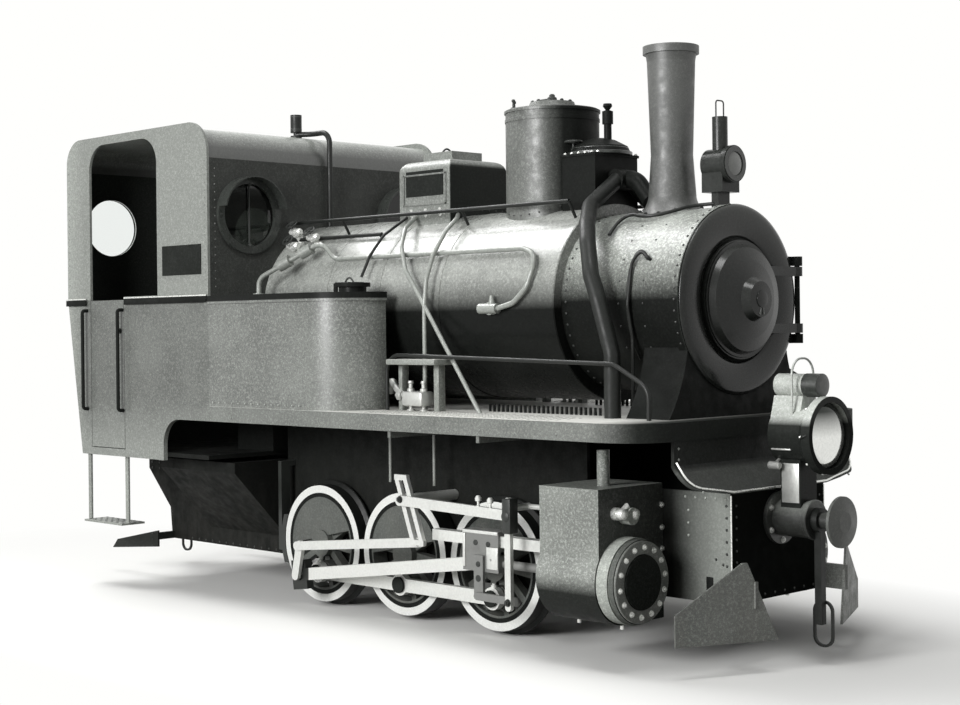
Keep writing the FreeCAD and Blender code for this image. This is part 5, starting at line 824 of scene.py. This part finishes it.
def boiler_cocks():
    cocks = Shaper()
    for side in (-1, 1):
        for x in (0.02, 0.16, 0.30):
            foot = on_boiler(x, 22, BOILER, side)
            out = away(foot)
            cocks.turned(foot - out * 0.01, out, [(0, 26), (20, 26), (24, 14), (50, 14), (56, 21), (82, 21),
                                                 (88, 12), (110, 11)], 14)
            spout = foot + out * 0.06
            cocks.tube([spout, spout + Vector((0.05, side * 0.012, 0))], 0.01)
    cocks.finish("BoilerCocks", "bright")


def steam_valves():
    """Injector steam valves on the boiler's flanks, in front of the cab."""
    fittings, wheels = Shaper(), Shaper()
    for side in (-1, 1):
        for x, degrees, reach in ((-1.02, 38, 130), (-0.93, 50, 120), (-0.80, 42, 100)):
            foot = on_boiler(x, degrees, BOILER, side)
            out = away(foot)
            end = foot + out * reach / 1000
            fittings.turned(foot - out * 0.01, out,
                            [(0, 40), (22, 40), (26, 22), (reach * 0.55, 22), (reach * 0.6, 33),
                             (reach * 0.85, 33), (reach * 0.9, 18), (reach, 16)], 16)
            fittings.turned(foot.lerp(end, 0.7) + BACK * 0.055, AHEAD,
                            [(0, 20), (12, 26), (100, 26), (112, 18)], 14)
            wheels.handwheel(end + out * 0.025, out, 0.042, 0.0055)
            wheels.tube([end, end + out * 0.025], 0.007, 8)
    fittings.finish("SteamValves", "bright")
    wheels.finish("SteamValveWheels", "iron")


def tank_rivets():
    rear, front = least("side_tank_right", X) + 0.06, most("side_tank_right", X) - 0.42
    y, z = -CAB_OUTER - PROUD, BOARD_TOP + 0.028
    rivets = Spots().row((rear, y, z), (front, y, z), 14, (0, -1, 0)).both_sides()
    rivets.heads("TankRivets", "rivet", radius=0.006)


def tank_lids():
    for name in dict(SIDES):
        node = "tank_lid_" + name
        x, y, top = middle(node, X) - 0.016, middle(node, Y), most(node, Z)
        lid = Shaper().hoop((x, y, top - 0.002), UP, 0.082, 0.098, 0.006, 40)
        lid.tube(bow((x - 0.045, y, top - 0.002), (x, y, top + 0.07), (x + 0.045, y, top - 0.002), 10),
                 0.006, 8)
        lid.finish("TankLidHandle_" + name, "iron", node)


def cab_belt():
    """A dark band with a bright bead above it at the height of the tanks' tops."""
    band, bead = Shaper(), Shaper()
    rear, front = least("cab_side_right", X) + 0.002, most("cab_side_right", X) - 0.002
    for start, end in ((rear, least("cab_door_right", X) - 0.03), (most("cab_door_right", X) + 0.03, front)):
        for side in (-1, 1):
            near, far = side * CAB_OUTER, side * (CAB_OUTER + 0.006)
            band.block((start, near, TANK_TOP - 0.043), (end, far, TANK_TOP), 0.002)
            bead.block((start, near, TANK_TOP + 0.002), (end, far, TANK_TOP + 0.011), 0.002)
    band.finish("CabBelt", "black")
    bead.finish("CabBead", "edge")


def cab_rivets():
    rivets = Spots()
    y, top = 0.0135 - CAB_OUTER, most("cab_side_right", Z)
    for x, high, count in ((least("cab_side_right", X) + 0.03, top - 0.25, 18),
                           (most("cab_side_right", X) - 0.03, top - 0.28, 17)):
        rivets.row((x, y, 2.25), (x, y, high), count, (0, -1, 0))
    rivets.both_sides()
    rear, front = least("cab_rear", X) - PROUD, most("cab_front", X) + PROUD
    for side in (-1, 1):
        rivets.row((rear, side * 1.0, 2.2), (rear, side * 1.0, 3.05), 16, BACK)
        rivets.row((front, side * 1.02, 2.2), (front, side * 1.02, 3.02), 16, AHEAD)
    rivets.row((rear, -0.94, 2.17), (rear, 0.94, 2.17), 32, BACK)
    rivets.heads("CabRivets", "tank", radius=0.005, slot="paint_black")


def windows():
    z, reach, rear, front = WINDOW_HEIGHT, 0.215, least("cab_rear", X), most("cab_front", X)
    rims, bars, studs = Shaper(), Shaper(), Spots()
    for y in (-0.7, 0.7):
        rims.hoop((rear - 0.012, y, z), AHEAD, 0.218, 0.268, 0.014, 56)
        studs.circle((rear - 0.0115, y, z), BACK, 0.245, 14)
    rims.finish("RearWindowRims", "black")
    for y in (-0.735, 0.735):
        studs.circle((front + 0.0255, y, z), AHEAD, 0.245, 14)
        for high in (z - reach, z + reach):
            bars.turned((front + 0.002, y, high), AHEAD, [(0, 12), (22, 12), (28, 6)], 10)
        bars.tube([(front + 0.012, y, z - reach), (front + 0.012, y, z + reach)], 0.0055, 8)
    studs.heads("WindowStuds", "dark_rivet", radius=0.0055)
    bars.finish("WindowPivots", "iron", slot="rod_steel")


def door_latches():
    for name, side in SIDES:
        node = "cab_door_" + name
        latch = Shaper().turned((most(node, X) - 0.05, side * 1.083, 1.9), (0, side, 0),
                                [(0, 20), (6, 20), (8, 9), (14, 9)], 14)
        latch.finish("DoorLatchPlate_" + name, "black", node)


def backhead():
    face = least("backhead", X)
    irons, brights = Shaper(), Shaper()
    irons.turned((face - 0.035, 0, 1.62), AHEAD, [(0, 170), (12, 185), (30, 185), (40, 195)], 32)
    irons.block((face - 0.05, -0.22, 1.60), (face - 0.02, -0.16, 1.64))
    irons.turned((face - 0.03, 0, 2.28), AHEAD, [(0, 50), (30, 60)], 18)
    brights.tube([(face - 0.045, 0, 2.28), (face - 0.05, -0.2, 2.36), (face - 0.055, -0.38, 2.44)], 0.013)
    brights.ball((face - 0.055, -0.39, 2.445), 0.026)
    brights.turned((face - 0.045, 0, 2.28), AHEAD, [(-12, 26), (30, 30)], 14)
    for y in (-0.25, 0.25):
        for z in (1.98, 2.22):
            brights.turned((face - 0.07, y, z), AHEAD, [(0, 14), (20, 22), (70, 22), (75, 30)], 12)
        brights.tube([(face - 0.055, y, 1.94), (face - 0.055, y, 2.26)], 0.009)
    for y, radius in ((0.08, 75), (-0.12, 60)):
        irons.turned((face - 0.075, y, 2.62), AHEAD, [(0, radius - 12), (6, radius), (35, radius)])
        irons.tube([(face - 0.05, y, 2.62), (face - 0.02, y, 2.5), (face + 0.02, y, 2.42)], 0.008, 8)
    brights.tube([(face - 0.06, -0.34, 2.08), (face - 0.06, 0.34, 2.08)], 0.016, 12)
    for y in (-0.30, -0.12, 0.12, 0.30):
        brights.handwheel((face - 0.12, y, 2.11), (-1, 0, 0.2), 0.035, 0.005)
        brights.tube([(face - 0.06, y, 2.08), (face - 0.12, y, 2.11)], 0.009, 8)
    irons.finish("BackheadFittings", "iron")
    brights.finish("BackheadValves", "brass")
    stays = Spots().circle((face - 0.002, 0, 1.62), BACK, 0.225, 20)
    stays.heads("BackheadStays", "dark_rivet", radius=0.008)


def cab_seats():
    seats = Shaper()
    for side in (-1, 1):
        seats.block((-1.95, side * 0.81, 1.52), (-1.55, side * 1.05, 1.56), 0.012)
        for x in (-1.92, -1.6):
            seats.tube([(x, side * 0.85, 1.53), (x, side * 1.04, 1.32)], 0.012, 8)
    seats.finish("CabSeats", "black")


def board_tread():
    """Upright ribs by the boiler, a chequered top and rivets along the valance."""
    pitch = looks().tread_pitch
    y, z, start, end = -0.5, BOARD_TOP + 0.018, 0.99, 1.90
    ribs = Spots().row((start, y, z), (end, y, z), int((end - start) / pitch * 1.4), UP).both_sides()
    ribs.heads("BoardRibs", "black", "BoardRibs", radius=0.009, height=0.055, length=0.009)
    chequer = Spots()
    for row in range(int(0.4 / pitch)):
        y = 1.02 - row * pitch
        for step in range(int(2.1 / pitch)):
            x = 0.36 + (step + 0.5 * (row % 2)) * pitch
            if x < 2.0 and not (x > 1.8 and y < 0.75):
                chequer.one((x, -y, BOARD_TOP + 0.0008), UP)
    chequer.both_sides().heads("BoardChequer", "board", radius=0.011, height=0.0022)
    rivets = Spots().row((-0.9, -1.0995, 1.3), (2.1, -1.0995, 1.3), 6, (0, -1, 0)).both_sides()
    rivets.heads("ValanceRivets", "board", radius=0.008, height=0.003)


def lubricators():
    pump, shelf = Shaper(), Shaper()
    top = BOARD_TOP
    for side in (-1, 1):
        shelf.block((0.34, side * 0.62, 1.665), (0.79, side * 0.79, 1.70), 0.006)
        for start, end in ((0.69, 0.735), (0.36, 0.395)):
            shelf.block((start, side * 0.64, top), (end, side * 0.70, 1.67))
        pump.block((0.47, side * 0.66, top + 0.03), (0.66, side * 0.78, top + 0.125), 0.02)
        for x in (0.5, 0.62):
            pump.turned((x, side * 0.72, top - 0.002), UP, [(0, 26), (12, 26), (14, 14), (50, 14)], 12)
            pump.turned((x, side * 0.72, top + 0.12), UP,
                        [(0, 24), (20, 24), (24, 14), (50, 14), (56, 20), (70, 16)], 12)
        line = bow((0.49, side * 0.70, top + 0.085), (0.35, side * 0.70, top + 0.1),
                   (0.27, side * 0.66, top + 0.17), 8)
        line += bow((0.265, side * 0.657, top + 0.175), (0.21, side * 0.64, top + 0.2),
                    (0.2, side * 0.63, top + 0.1), 6)
        pump.tube(line, 0.022, 14).nut((0.38, side * 0.70, top + 0.095), (1, 0, -0.05), 0.034, 0.045)
    pump.finish("LubricatorPumps", "nut")
    shelf.finish("LubricatorShelves", "chequer")


def step_treads():
    ribs = Spots()
    rear, front = least("cab_steps", X) + 0.05, most("cab_steps", X) - 0.05
    z = least("cab_steps", Z) + 0.0145
    for y in (-0.92, -0.97, -1.02, -1.07):
        ribs.row((rear, y, z), (front, y, z), 7, UP)
    ribs.both_sides().heads("StepRibs", "dark_rivet", radius=0.012, height=0.003)


def frame_rivets():
    light, dark = Spots(), Spots()
    for side in (-1, 1):
        y, out = side * (FRAME_HALF + PROUD), (0, side, 0)
        light.row((2.48, y, 0.935), (2.76, y, 0.935), 5, out)
        light.row((2.50, y, 0.72), (2.50, y, 0.86), 3, out)
        dark.row((2.765, y, 0.37), (2.765, y, 0.90), 9, out)
        dark.row((2.69, y, 0.60), (2.74, y, 0.575), 2, out)
        for x in (-2.84, -2.74):
            dark.row((x, y, 0.82), (x, y, 0.91), 3, out)
        dark.row((-1.0, y, 0.31), (-2.3, y, 0.31), 16, out)
    front = FRAME_FRONT + PROUD
    for y in (-0.40, 0.40):
        dark.row((front, y, 0.40), (front, y, 0.90), 9, AHEAD)
    dark.row((front, -0.33, 0.385), (front, 0.33, 0.385), 8, AHEAD)
    light.heads("FrameRivets", "rivet")
    dark.heads("FramePlateRivets", "iron")


def apron():
    front, knee, ledge = most("front_apron", X), 1.128, FRAME_TOP + 0.028
    upper, lean = front - 0.13, (knee - FRAME_TOP, 0, 0.13)
    proud = Vector((0.0076, 0, 0.0065))
    spots, edge, slot_shade = Spots(), Shaper(), Shaper()
    for side in (-1, 1):
        spots.row((upper + PROUD, side * 0.76, 1.17), (upper + PROUD, side * 0.76, 1.29), 3, AHEAD)
        spots.row((upper + 0.02, side * 0.745, knee - 0.04), (front - 0.012, side * 0.70, FRAME_TOP + 0.03), 2,
                  lean)
        spots.row((front - 0.024, side * 0.62, ledge), (front - 0.024, side * 0.2, ledge), 6, lean)
        line = [Vector((front - 0.122, side * 0.799, 1.15))]
        line += bow((front - 0.09, side * 0.797, 1.105), (front - 0.045, side * 0.79, 1.032),
                    (front - 0.03, side * 0.70, 1.012), 6)
        line += [Vector((front - 0.006, side * FRAME_HALF, FRAME_TOP + 0.006)),
                 Vector((front - 0.004, 0, FRAME_TOP + 0.006))]
        edge.tube([point + proud for point in line], 0.006, 8)
        corner = side * FRAME_HALF
        edge.tube([(FRAME_FRONT, corner, 0.33), (FRAME_FRONT, corner, FRAME_TOP - 0.01)], 0.005, 8)
        # Dark blocks on the frame's sides stand in for slots, a painted shade.
        slot_shade.block((2.62, side * 0.44, 0.40), (2.67, side * 0.4485, 0.50), 0.003)
    spots.heads("ApronRivets", "rivet")
    edge.finish("ApronEdge", "edge")
    slot_shade.finish("FrameSlotShades", "black")


def buffers():
    rear, z = most("buffer_rear", X), BUFFER_HEIGHT
    nuts = Spots()
    for turn in turns(6, 0.5):
        y, high = math.cos(turn) * 0.127, z + math.sin(turn) * 0.127
        nuts.one((FRAME_FRONT + 0.0255, y, high), AHEAD).one((rear - 0.0255, y, high), BACK)
    nuts.heads("BufferNuts", "nut", "BoltHeads", radius=0.014, slot="paint_black")
    rings = Shaper()
    for x in (FRAME_FRONT + 0.225, rear - 0.16):
        rings.hoop((x, 0, z), AHEAD, 0.09, 0.112, 0.026, 40)
    rings.finish("BufferRings", "buffer", slot="cast_dark")
    plate = Shaper().turned((FRAME_FRONT + 0.12, 0, z + 0.098), UP, [(0, 45), (8, 45), (10, 30)], 24)
    plate.finish("BufferSlot", "black", slot="cast_dark")


def guard_rivets():
    rivets = Spots()
    for side in (-1, 1):
        rivets.row((-2.62, side * 0.5995, 0.24), (-2.62, side * 0.5995, 0.33), 3, (0, side, 0))
    rivets.heads("GuardRivets", "iron", radius=0.008)


def cylinders():
    low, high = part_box("cylinder_right")
    cover, face, rear, z = high[X] - 0.024, high[X] - 0.14, low[X] + 0.13, CYLINDER_HEIGHT
    bolts, brights, rings, glands = Spots(), Shaper(), Shaper(), Shaper()
    for side in (-1, 1):
        y = side * CYLINDER_ACROSS
        rings.hoop((cover - 0.001, y, z), AHEAD, 0.155, 0.228, 0.016, 56)
        bolts.circle((cover + 0.015, y, z), AHEAD, 0.192, 14, first=8)
        for up in (0.57, 0.63, 0.752, 0.88):
            bolts.one((face + PROUD, side * 0.458, up), AHEAD)
        for across, up in ((0.865, 0.862), (0.765, 0.855)):
            brights.turned((face - 0.004, side * across, up), AHEAD,
                           [(0, 36), (30, 36), (34, 26), (50, 26), (54, 34), (78, 30), (84, 18)], 16)
        brights.tube([(face + 0.035, side * 0.86, 0.866), (face + 0.045, side * 0.815, 0.905),
                      (face + 0.035, side * 0.77, 0.86)], 0.016)
        for x in (face - 0.02, face - 0.34):
            brights.turned((x, y, low[Z] + 0.02), -UP, [(0, 20), (20, 20), (24, 12), (45, 12)], 12)
        glands.hoop((rear - 0.03, y, z), AHEAD, 0.065, 0.088, 0.03, 36)
        bolts.circle((rear - PROUD, y, z), BACK, 0.13, 10)
    bolts.heads("CylinderNuts", "bright", "BoltHeads", radius=0.0135)
    brights.finish("CylinderCocks", "bright")
    rings.finish("CylinderCoverRings", "guards", slot="cast_dark")
    glands.finish("CylinderRings", "iron")


def coupling_rods():
    for name, side in SIDES:
        node = "coupling_rod_" + name
        cups = Shaper()
        for shift in (0.07, 0.91, 1.75):
            cups.turned((least(node, X) + shift, side * 0.6375, middle(node, Z) + 0.066), UP,
                        [(0, 20), (16, 20), (18, 12), (26, 12)], 12)
        cups.finish("CouplingRodCups_" + name, "bars", node)


def crossheads():
    """Pins and bright strips on each crosshead's outer cheek and drop arm."""
    for name, side in SIDES:
        node = "crosshead_" + name
        rear, low = least(node, X), least(node, Z)
        cheek, arm = side * 0.8425, side * 0.8625
        pins, strips = Shaper(), Shaper()
        for x, z, face, radius in ((0.11, 0.34, cheek, 17), (0.216, 0.336, cheek, 17),
                                   (0.24, 0.246, cheek, 14), (0.15, 0.215, arm, 17), (0.15, 0.13, arm, 20)):
            pins.turned((rear + x, face, low + z), (0, side, 0), [(0, radius), (4, radius), (6, radius * 0.6)], 18)
        pins.finish("CrossheadPins_" + name, "iron", node)
        for x0, x1, z0, z1 in ((0.205, 0.298, 0.19, 0.32), (0.002, 0.298, 0.395, 0.414),
                               (0.002, 0.022, 0.19, 0.39)):
            strips.block((rear + x0, cheek, low + z0), (rear + x1, cheek + side * 0.006, low + z1), 0.002)
        strips.finish("CrossheadStrips_" + name, "bars", node)


def valve_gear():
    """The lever's forked head, oil cups on the bars and nuts on the pins."""
    for name, side in SIDES:
        out = (0, side, 0)
        head = Shaper().block((1.545, side * 0.90, 0.70), (1.612, side * 0.972, 0.905), 0.008)
        head.turned((1.575, side * 0.955, 0.80), out, [(0, 30), (20, 30), (26, 20)], 18)
        head.finish("LeverHead_" + name, "iron")
        cups = Shaper()
        for x, z in ((1.30, 0.812), (1.40, 0.806)):
            cups.turned((x, side * 0.918, z), UP,
                        [(0, 12), (30, 12), (34, 8), (55, 8), (58, 18), (75, 21), (90, 12)], 14)
        cups.finish("GearOilCups_" + name, "bright")
        nuts = Spots()
        for x, y, z in ((0.723, 0.8795, 0.57), (0.62, 0.9315, 0.835), (1.575, 0.9575, 0.30)):
            nuts.one((x, side * y, z), out)
        nuts.heads("GearNuts_" + name, "iron", "BoltHeads", radius=0.018)


def tyre_grooves():
    """A dark groove where each tyre meets its wheel centre."""
    rim = (most("tyres_middle", Z) - least("tyres_middle", Z)) / 2 - 0.056
    for place, x in AXLES.items():
        groove = Shaper()
        for side in (-1, 1):
            groove.hoop((x, side * 0.5835, AXLE_HEIGHT), (0, side, 0), rim - 0.026, rim + 0.002, 0.003)
        groove.finish("TyreGroove_" + place, "black", "axle_" + place)


def head_lamp():
    front, z, drum = HEAD_LAMP_FRONT, HEAD_LAMP_HEIGHT, least("head_lamp", X)
    lens = Shaper().turned((front - 0.046, 0, z), AHEAD,
                           [(0, 184), (6, 184), (17, 170), (28, 140), (37, 100), (42, 55), (44, 0)], 56)
    lens.finish("HeadLampLens", "lens", angle=60)
    rim = Shaper().hoop((front - 0.01, 0, z), AHEAD, 0.184, 0.214, 0.0095, 64)
    rim.tube(bow((front - 0.06, -0.208, z - 0.01), (front - 0.05, -0.228, z), (front - 0.02, -0.21, z + 0.012), 6),
             0.008, 8)
    rim.finish("HeadLampRim", "lamp")
    fittings = Shaper().block((front - 0.30, -0.150, z - 0.082), (front - 0.17, -0.128, z - 0.072), 0.003)
    fittings.turned((front - 0.335, -0.12, 1.108), AHEAD, [(0, 16), (6, 22), (70, 22), (76, 16)], 16)
    fittings.tube([(front - 0.30, -0.12, 1.108), (front - 0.29, -0.05, 1.16)], 0.01, 8)
    fittings.block((front - 0.275, -0.085, 0.90), (front - 0.16, -0.078, 1.12), 0.003)
    fittings.finish("HeadLampFittings", "nut")
    sleeve = Shaper().turned((drum + 0.283, 0, 1.554), AHEAD, [(0, 64), (4, 66), (7, 60), (8, 30)], 32)
    sleeve.hoop((drum + 0.185, 0, 1.554), AHEAD, 0.0635, 0.0665, 0.098, 40)
    sleeve.finish("LampDrumSleeve", "cover", slot="lamp_paint")
    screws = Spots().circle((front - 0.06, 0, z), AHEAD, 0.2158, 8, radial=True)
    screws.heads("HeadLampScrews", "bright", radius=0.009, slot="paint_black")


def top_lamp():
    front, z = most("top_lamp", X), TOP_LAMP_HEIGHT
    bezel = Shaper().hoop((front - 0.004, 0, z), AHEAD, 0.07, 0.1, 0.01, 40)
    bezel.finish("TopLampBezel", "cover", slot="lamp_paint")
    eye = Shaper().turned((front - 0.006, 0, z), AHEAD, [(0, 75), (6, 70), (12, 45), (15, 0)], 32)
    eye.finish("TopLampLens", "lamp_eye")


def whistle():
    x, y, top = -1.431, -0.09, most("whistle", Z)
    bands = Shaper().hoop((x, y, top - 0.12), UP, 0.04, 0.0428, 0.02, 24)
    bands.hoop((x, y, top - 0.02), UP, 0.038, 0.0425, 0.012, 24)
    bands.finish("WhistleBands", "iron", slot="brass")


SKY_WHITE = (1, 1, 0.985, 1)


def camera():
    """A level camera with a roll and a shift."""
    settings = bpy.context.scene.locomotive_stage
    heading, roll = settings.camera_heading, settings.camera_roll
    right = Vector((math.cos(heading), math.sin(heading), 0))
    back = Vector((math.sin(heading), -math.cos(heading), 0))
    turn = Matrix((spoke(right, UP, roll), spoke(UP, -right, roll), back)).transposed()
    lens = bpy.data.cameras.new("Camera")
    lens.lens, lens.shift_y = settings.lens, settings.lens_shift
    lens.sensor_width, lens.clip_end = 36, 400
    thing = bpy.data.objects.new("Camera", lens)
    thing.matrix_world = Matrix.Translation(settings.camera_place) @ turn.to_4x4()
    bpy.context.scene.collection.objects.link(thing)
    bpy.context.scene.camera = thing
    bpy.context.scene.view_settings.view_transform = "Standard"


def lights():
    for name, place, target, width, power in (
            ("KeyLight", (1.0, -11, 4.4), (0, -0.3, 1.5), 5, 1300),
            ("SkyLight", (-6, -1, 10), (0.5, 0, 2.3), 6, 900),
            ("FrontLight", (3.2, -1.8, 8), (2.3, -0.4, 1.5), 2.5, 170)):
        light = bpy.data.lights.new(name, "AREA")
        light.shape, light.size, light.energy = "DISK", width, power
        thing = bpy.data.objects.new(name, light)
        bpy.context.scene.collection.objects.link(thing)
        thing.location = place
        thing.rotation_euler = (Vector(target) - Vector(place)).to_track_quat("-Z", "Y").to_euler()


def seen_directly(graph, plain, bright, away=None):
    """Shows the bright surface where the camera, a mirror or glass looks, and the plain one to other light."""
    rays = graph.node("ShaderNodeLightPath").outputs
    total = rays["Is Camera Ray"]
    for name in ("Is Glossy Ray", "Is Transmission Ray"):
        total = graph.math("MAXIMUM", total, rays[name])
    if away is not None:
        total = graph.times(total, away)
    return graph.add("ShaderNodeMixShader", {"Fac": total, 1: plain, 2: bright})


def floor():
    """Pale paper that takes the shadow near the locomotive and glows white further off."""
    half = 60
    mesh = bpy.data.meshes.new("Floor")
    mesh.from_pydata([(-half, -half, 0), (half, -half, 0), (half, half, 0), (-half, half, 0)], [], [(0, 1, 2, 3)])
    thing = bpy.data.objects.new("Floor", mesh)
    bpy.context.scene.collection.objects.link(thing)
    r = Recipe("FloorPaper")
    r.give({"Base Color": (0.86, 0.86, 0.84, 1), "Roughness": 0.9})
    distance = r.add("ShaderNodeVectorMath", {0: r.stretch((0.24, 0.5, 1))}, "Value", operation="LENGTH")
    ground = r.add("ShaderNodeBsdfDiffuse", {"Color": (0.22, 0.22, 0.21, 1)})
    glow = r.add("ShaderNodeEmission", {"Color": SKY_WHITE})
    paper = seen_directly(r, ground, r.shader.outputs["BSDF"])
    r.fill(r.output.inputs["Surface"], seen_directly(r, paper, glow, r.spread(distance, 0, 1, 0.8, 1.5)))
    mesh.materials.append(r.material)


def sky():
    world = bpy.data.worlds.new("Sky")
    bpy.context.scene.world = world
    world.use_nodes = True
    world.node_tree.nodes.clear()
    graph = Graph(world.node_tree)
    strength = bpy.context.scene.locomotive_stage.sky_light
    plain = graph.add("ShaderNodeBackground", {"Color": (1, 1, 1, 1), "Strength": strength})
    white = graph.add("ShaderNodeBackground", {"Color": SKY_WHITE, "Strength": 1})
    graph.node("ShaderNodeOutputWorld", {"Surface": seen_directly(graph, plain, white)})


def run(*jobs):
    """Does an operator's jobs in order; an error in one of them is raised and stops the script."""
    for job in jobs:
        job()
    return {"FINISHED"}


class LOCO_OT_paint(bpy.types.Operator):
    """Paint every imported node"""

    bl_idname = "loco.paint"
    bl_label = "Paint the locomotive"

    def execute(self, context):
        return run(make_finishes, paint_nodes)


class LOCO_OT_smokebox(bpy.types.Operator):
    """Rivet the smokebox and its door, and pipe it"""

    bl_idname = "loco.smokebox"
    bl_label = "Dress the smokebox"

    def execute(self, context):
        return run(smokebox_rivets, smokebox_pipes, smokebox_door)


class LOCO_OT_mountings(bpy.types.Operator):
    """Dress the chimney, dome, regulator box and sandbox"""

    bl_idname = "loco.mountings"
    bl_label = "Dress the boiler mountings"

    def execute(self, context):
        return run(chimney, dome, regulator, sandbox)


class LOCO_OT_boiler(bpy.types.Operator):
    """Band the boiler and set its cocks and steam valves"""

    bl_idname = "loco.boiler"
    bl_label = "Dress the boiler"

    def execute(self, context):
        return run(boiler_bands, boiler_cocks, steam_valves)


class LOCO_OT_tanks(bpy.types.Operator):
    """Rivet the tanks and give their lids handles"""

    bl_idname = "loco.tanks"
    bl_label = "Dress the tanks"

    def execute(self, context):
        return run(tank_rivets, tank_lids)


class LOCO_OT_cab(bpy.types.Operator):
    """Rivet the cab, frame its windows and fit the backhead"""

    bl_idname = "loco.cab"
    bl_label = "Dress the cab"

    def execute(self, context):
        return run(cab_rivets, cab_belt, windows, door_latches, backhead, cab_seats)


class LOCO_OT_board(bpy.types.Operator):
    """Rib the running board and set the lubricators and steps"""

    bl_idname = "loco.board"
    bl_label = "Dress the running board"

    def execute(self, context):
        return run(board_tread, lubricators, step_treads)


class LOCO_OT_front(bpy.types.Operator):
    """Rivet the apron, frame and guards, and bolt the buffers"""

    bl_idname = "loco.front"
    bl_label = "Dress the frame"

    def execute(self, context):
        return run(frame_rivets, apron, buffers, guard_rivets)


class LOCO_OT_cylinders(bpy.types.Operator):
    """Bolt the cylinders and valve chests"""

    bl_idname = "loco.cylinders"
    bl_label = "Dress the cylinders"

    def execute(self, context):
        return run(cylinders)


class LOCO_OT_motion(bpy.types.Operator):
    """Cup the rods, pin the crossheads and groove the tyres"""

    bl_idname = "loco.motion"
    bl_label = "Dress the motion"

    def execute(self, context):
        return run(coupling_rods, crossheads, valve_gear, tyre_grooves)


class LOCO_OT_lamps(bpy.types.Operator):
    """Glaze the lamps and fit their rims and catches"""

    bl_idname = "loco.lamps"
    bl_label = "Dress the lamps"

    def execute(self, context):
        return run(head_lamp, top_lamp)


class LOCO_OT_whistle(bpy.types.Operator):
    """Band the whistle"""

    bl_idname = "loco.whistle"
    bl_label = "Dress the whistle"

    def execute(self, context):
        return run(whistle)


class LOCO_OT_stage(bpy.types.Operator):
    """Lay the floor and set the light and the camera"""

    bl_idname = "loco.stage"
    bl_label = "Set the stage"

    def execute(self, context):
        return run(camera, floor, sky, lights)


class LOCO_PT_panel(bpy.types.Panel):
    """Lists the steps and their settings"""

    bl_idname = "LOCO_PT_panel"
    bl_label = "Tank Locomotive"
    bl_space_type = "VIEW_3D"
    bl_region_type = "UI"
    bl_category = "Locomotive"

    def draw(self, context):
        for settings in (context.scene.locomotive_looks, context.scene.locomotive_stage):
            for key in settings.bl_rna.properties.keys():
                if key not in {"rna_type", "name"}:
                    self.layout.prop(settings, key)
        for operator in OPERATORS:
            self.layout.operator(operator.bl_idname)


OPERATORS = (LOCO_OT_paint, LOCO_OT_smokebox, LOCO_OT_mountings, LOCO_OT_boiler, LOCO_OT_tanks, LOCO_OT_cab,
             LOCO_OT_board, LOCO_OT_front, LOCO_OT_cylinders, LOCO_OT_motion, LOCO_OT_lamps, LOCO_OT_whistle,
             LOCO_OT_stage)
CLASSES = (LocomotiveLooks, StageSettings) + OPERATORS + (LOCO_PT_panel,)


def register():
    for item in CLASSES:
        bpy.utils.register_class(item)
    bpy.types.Scene.locomotive_looks = PointerProperty(type=LocomotiveLooks)
    bpy.types.Scene.locomotive_stage = PointerProperty(type=StageSettings)


def unregister():
    del bpy.types.Scene.locomotive_stage
    del bpy.types.Scene.locomotive_looks
    for item in reversed(CLASSES):
        bpy.utils.unregister_class(item)


def main():
    register()
    for operator in OPERATORS:
        group, name = operator.bl_idname.split(".")
        getattr(getattr(bpy.ops, group), name)()


if __name__ == "__main__":
    main()
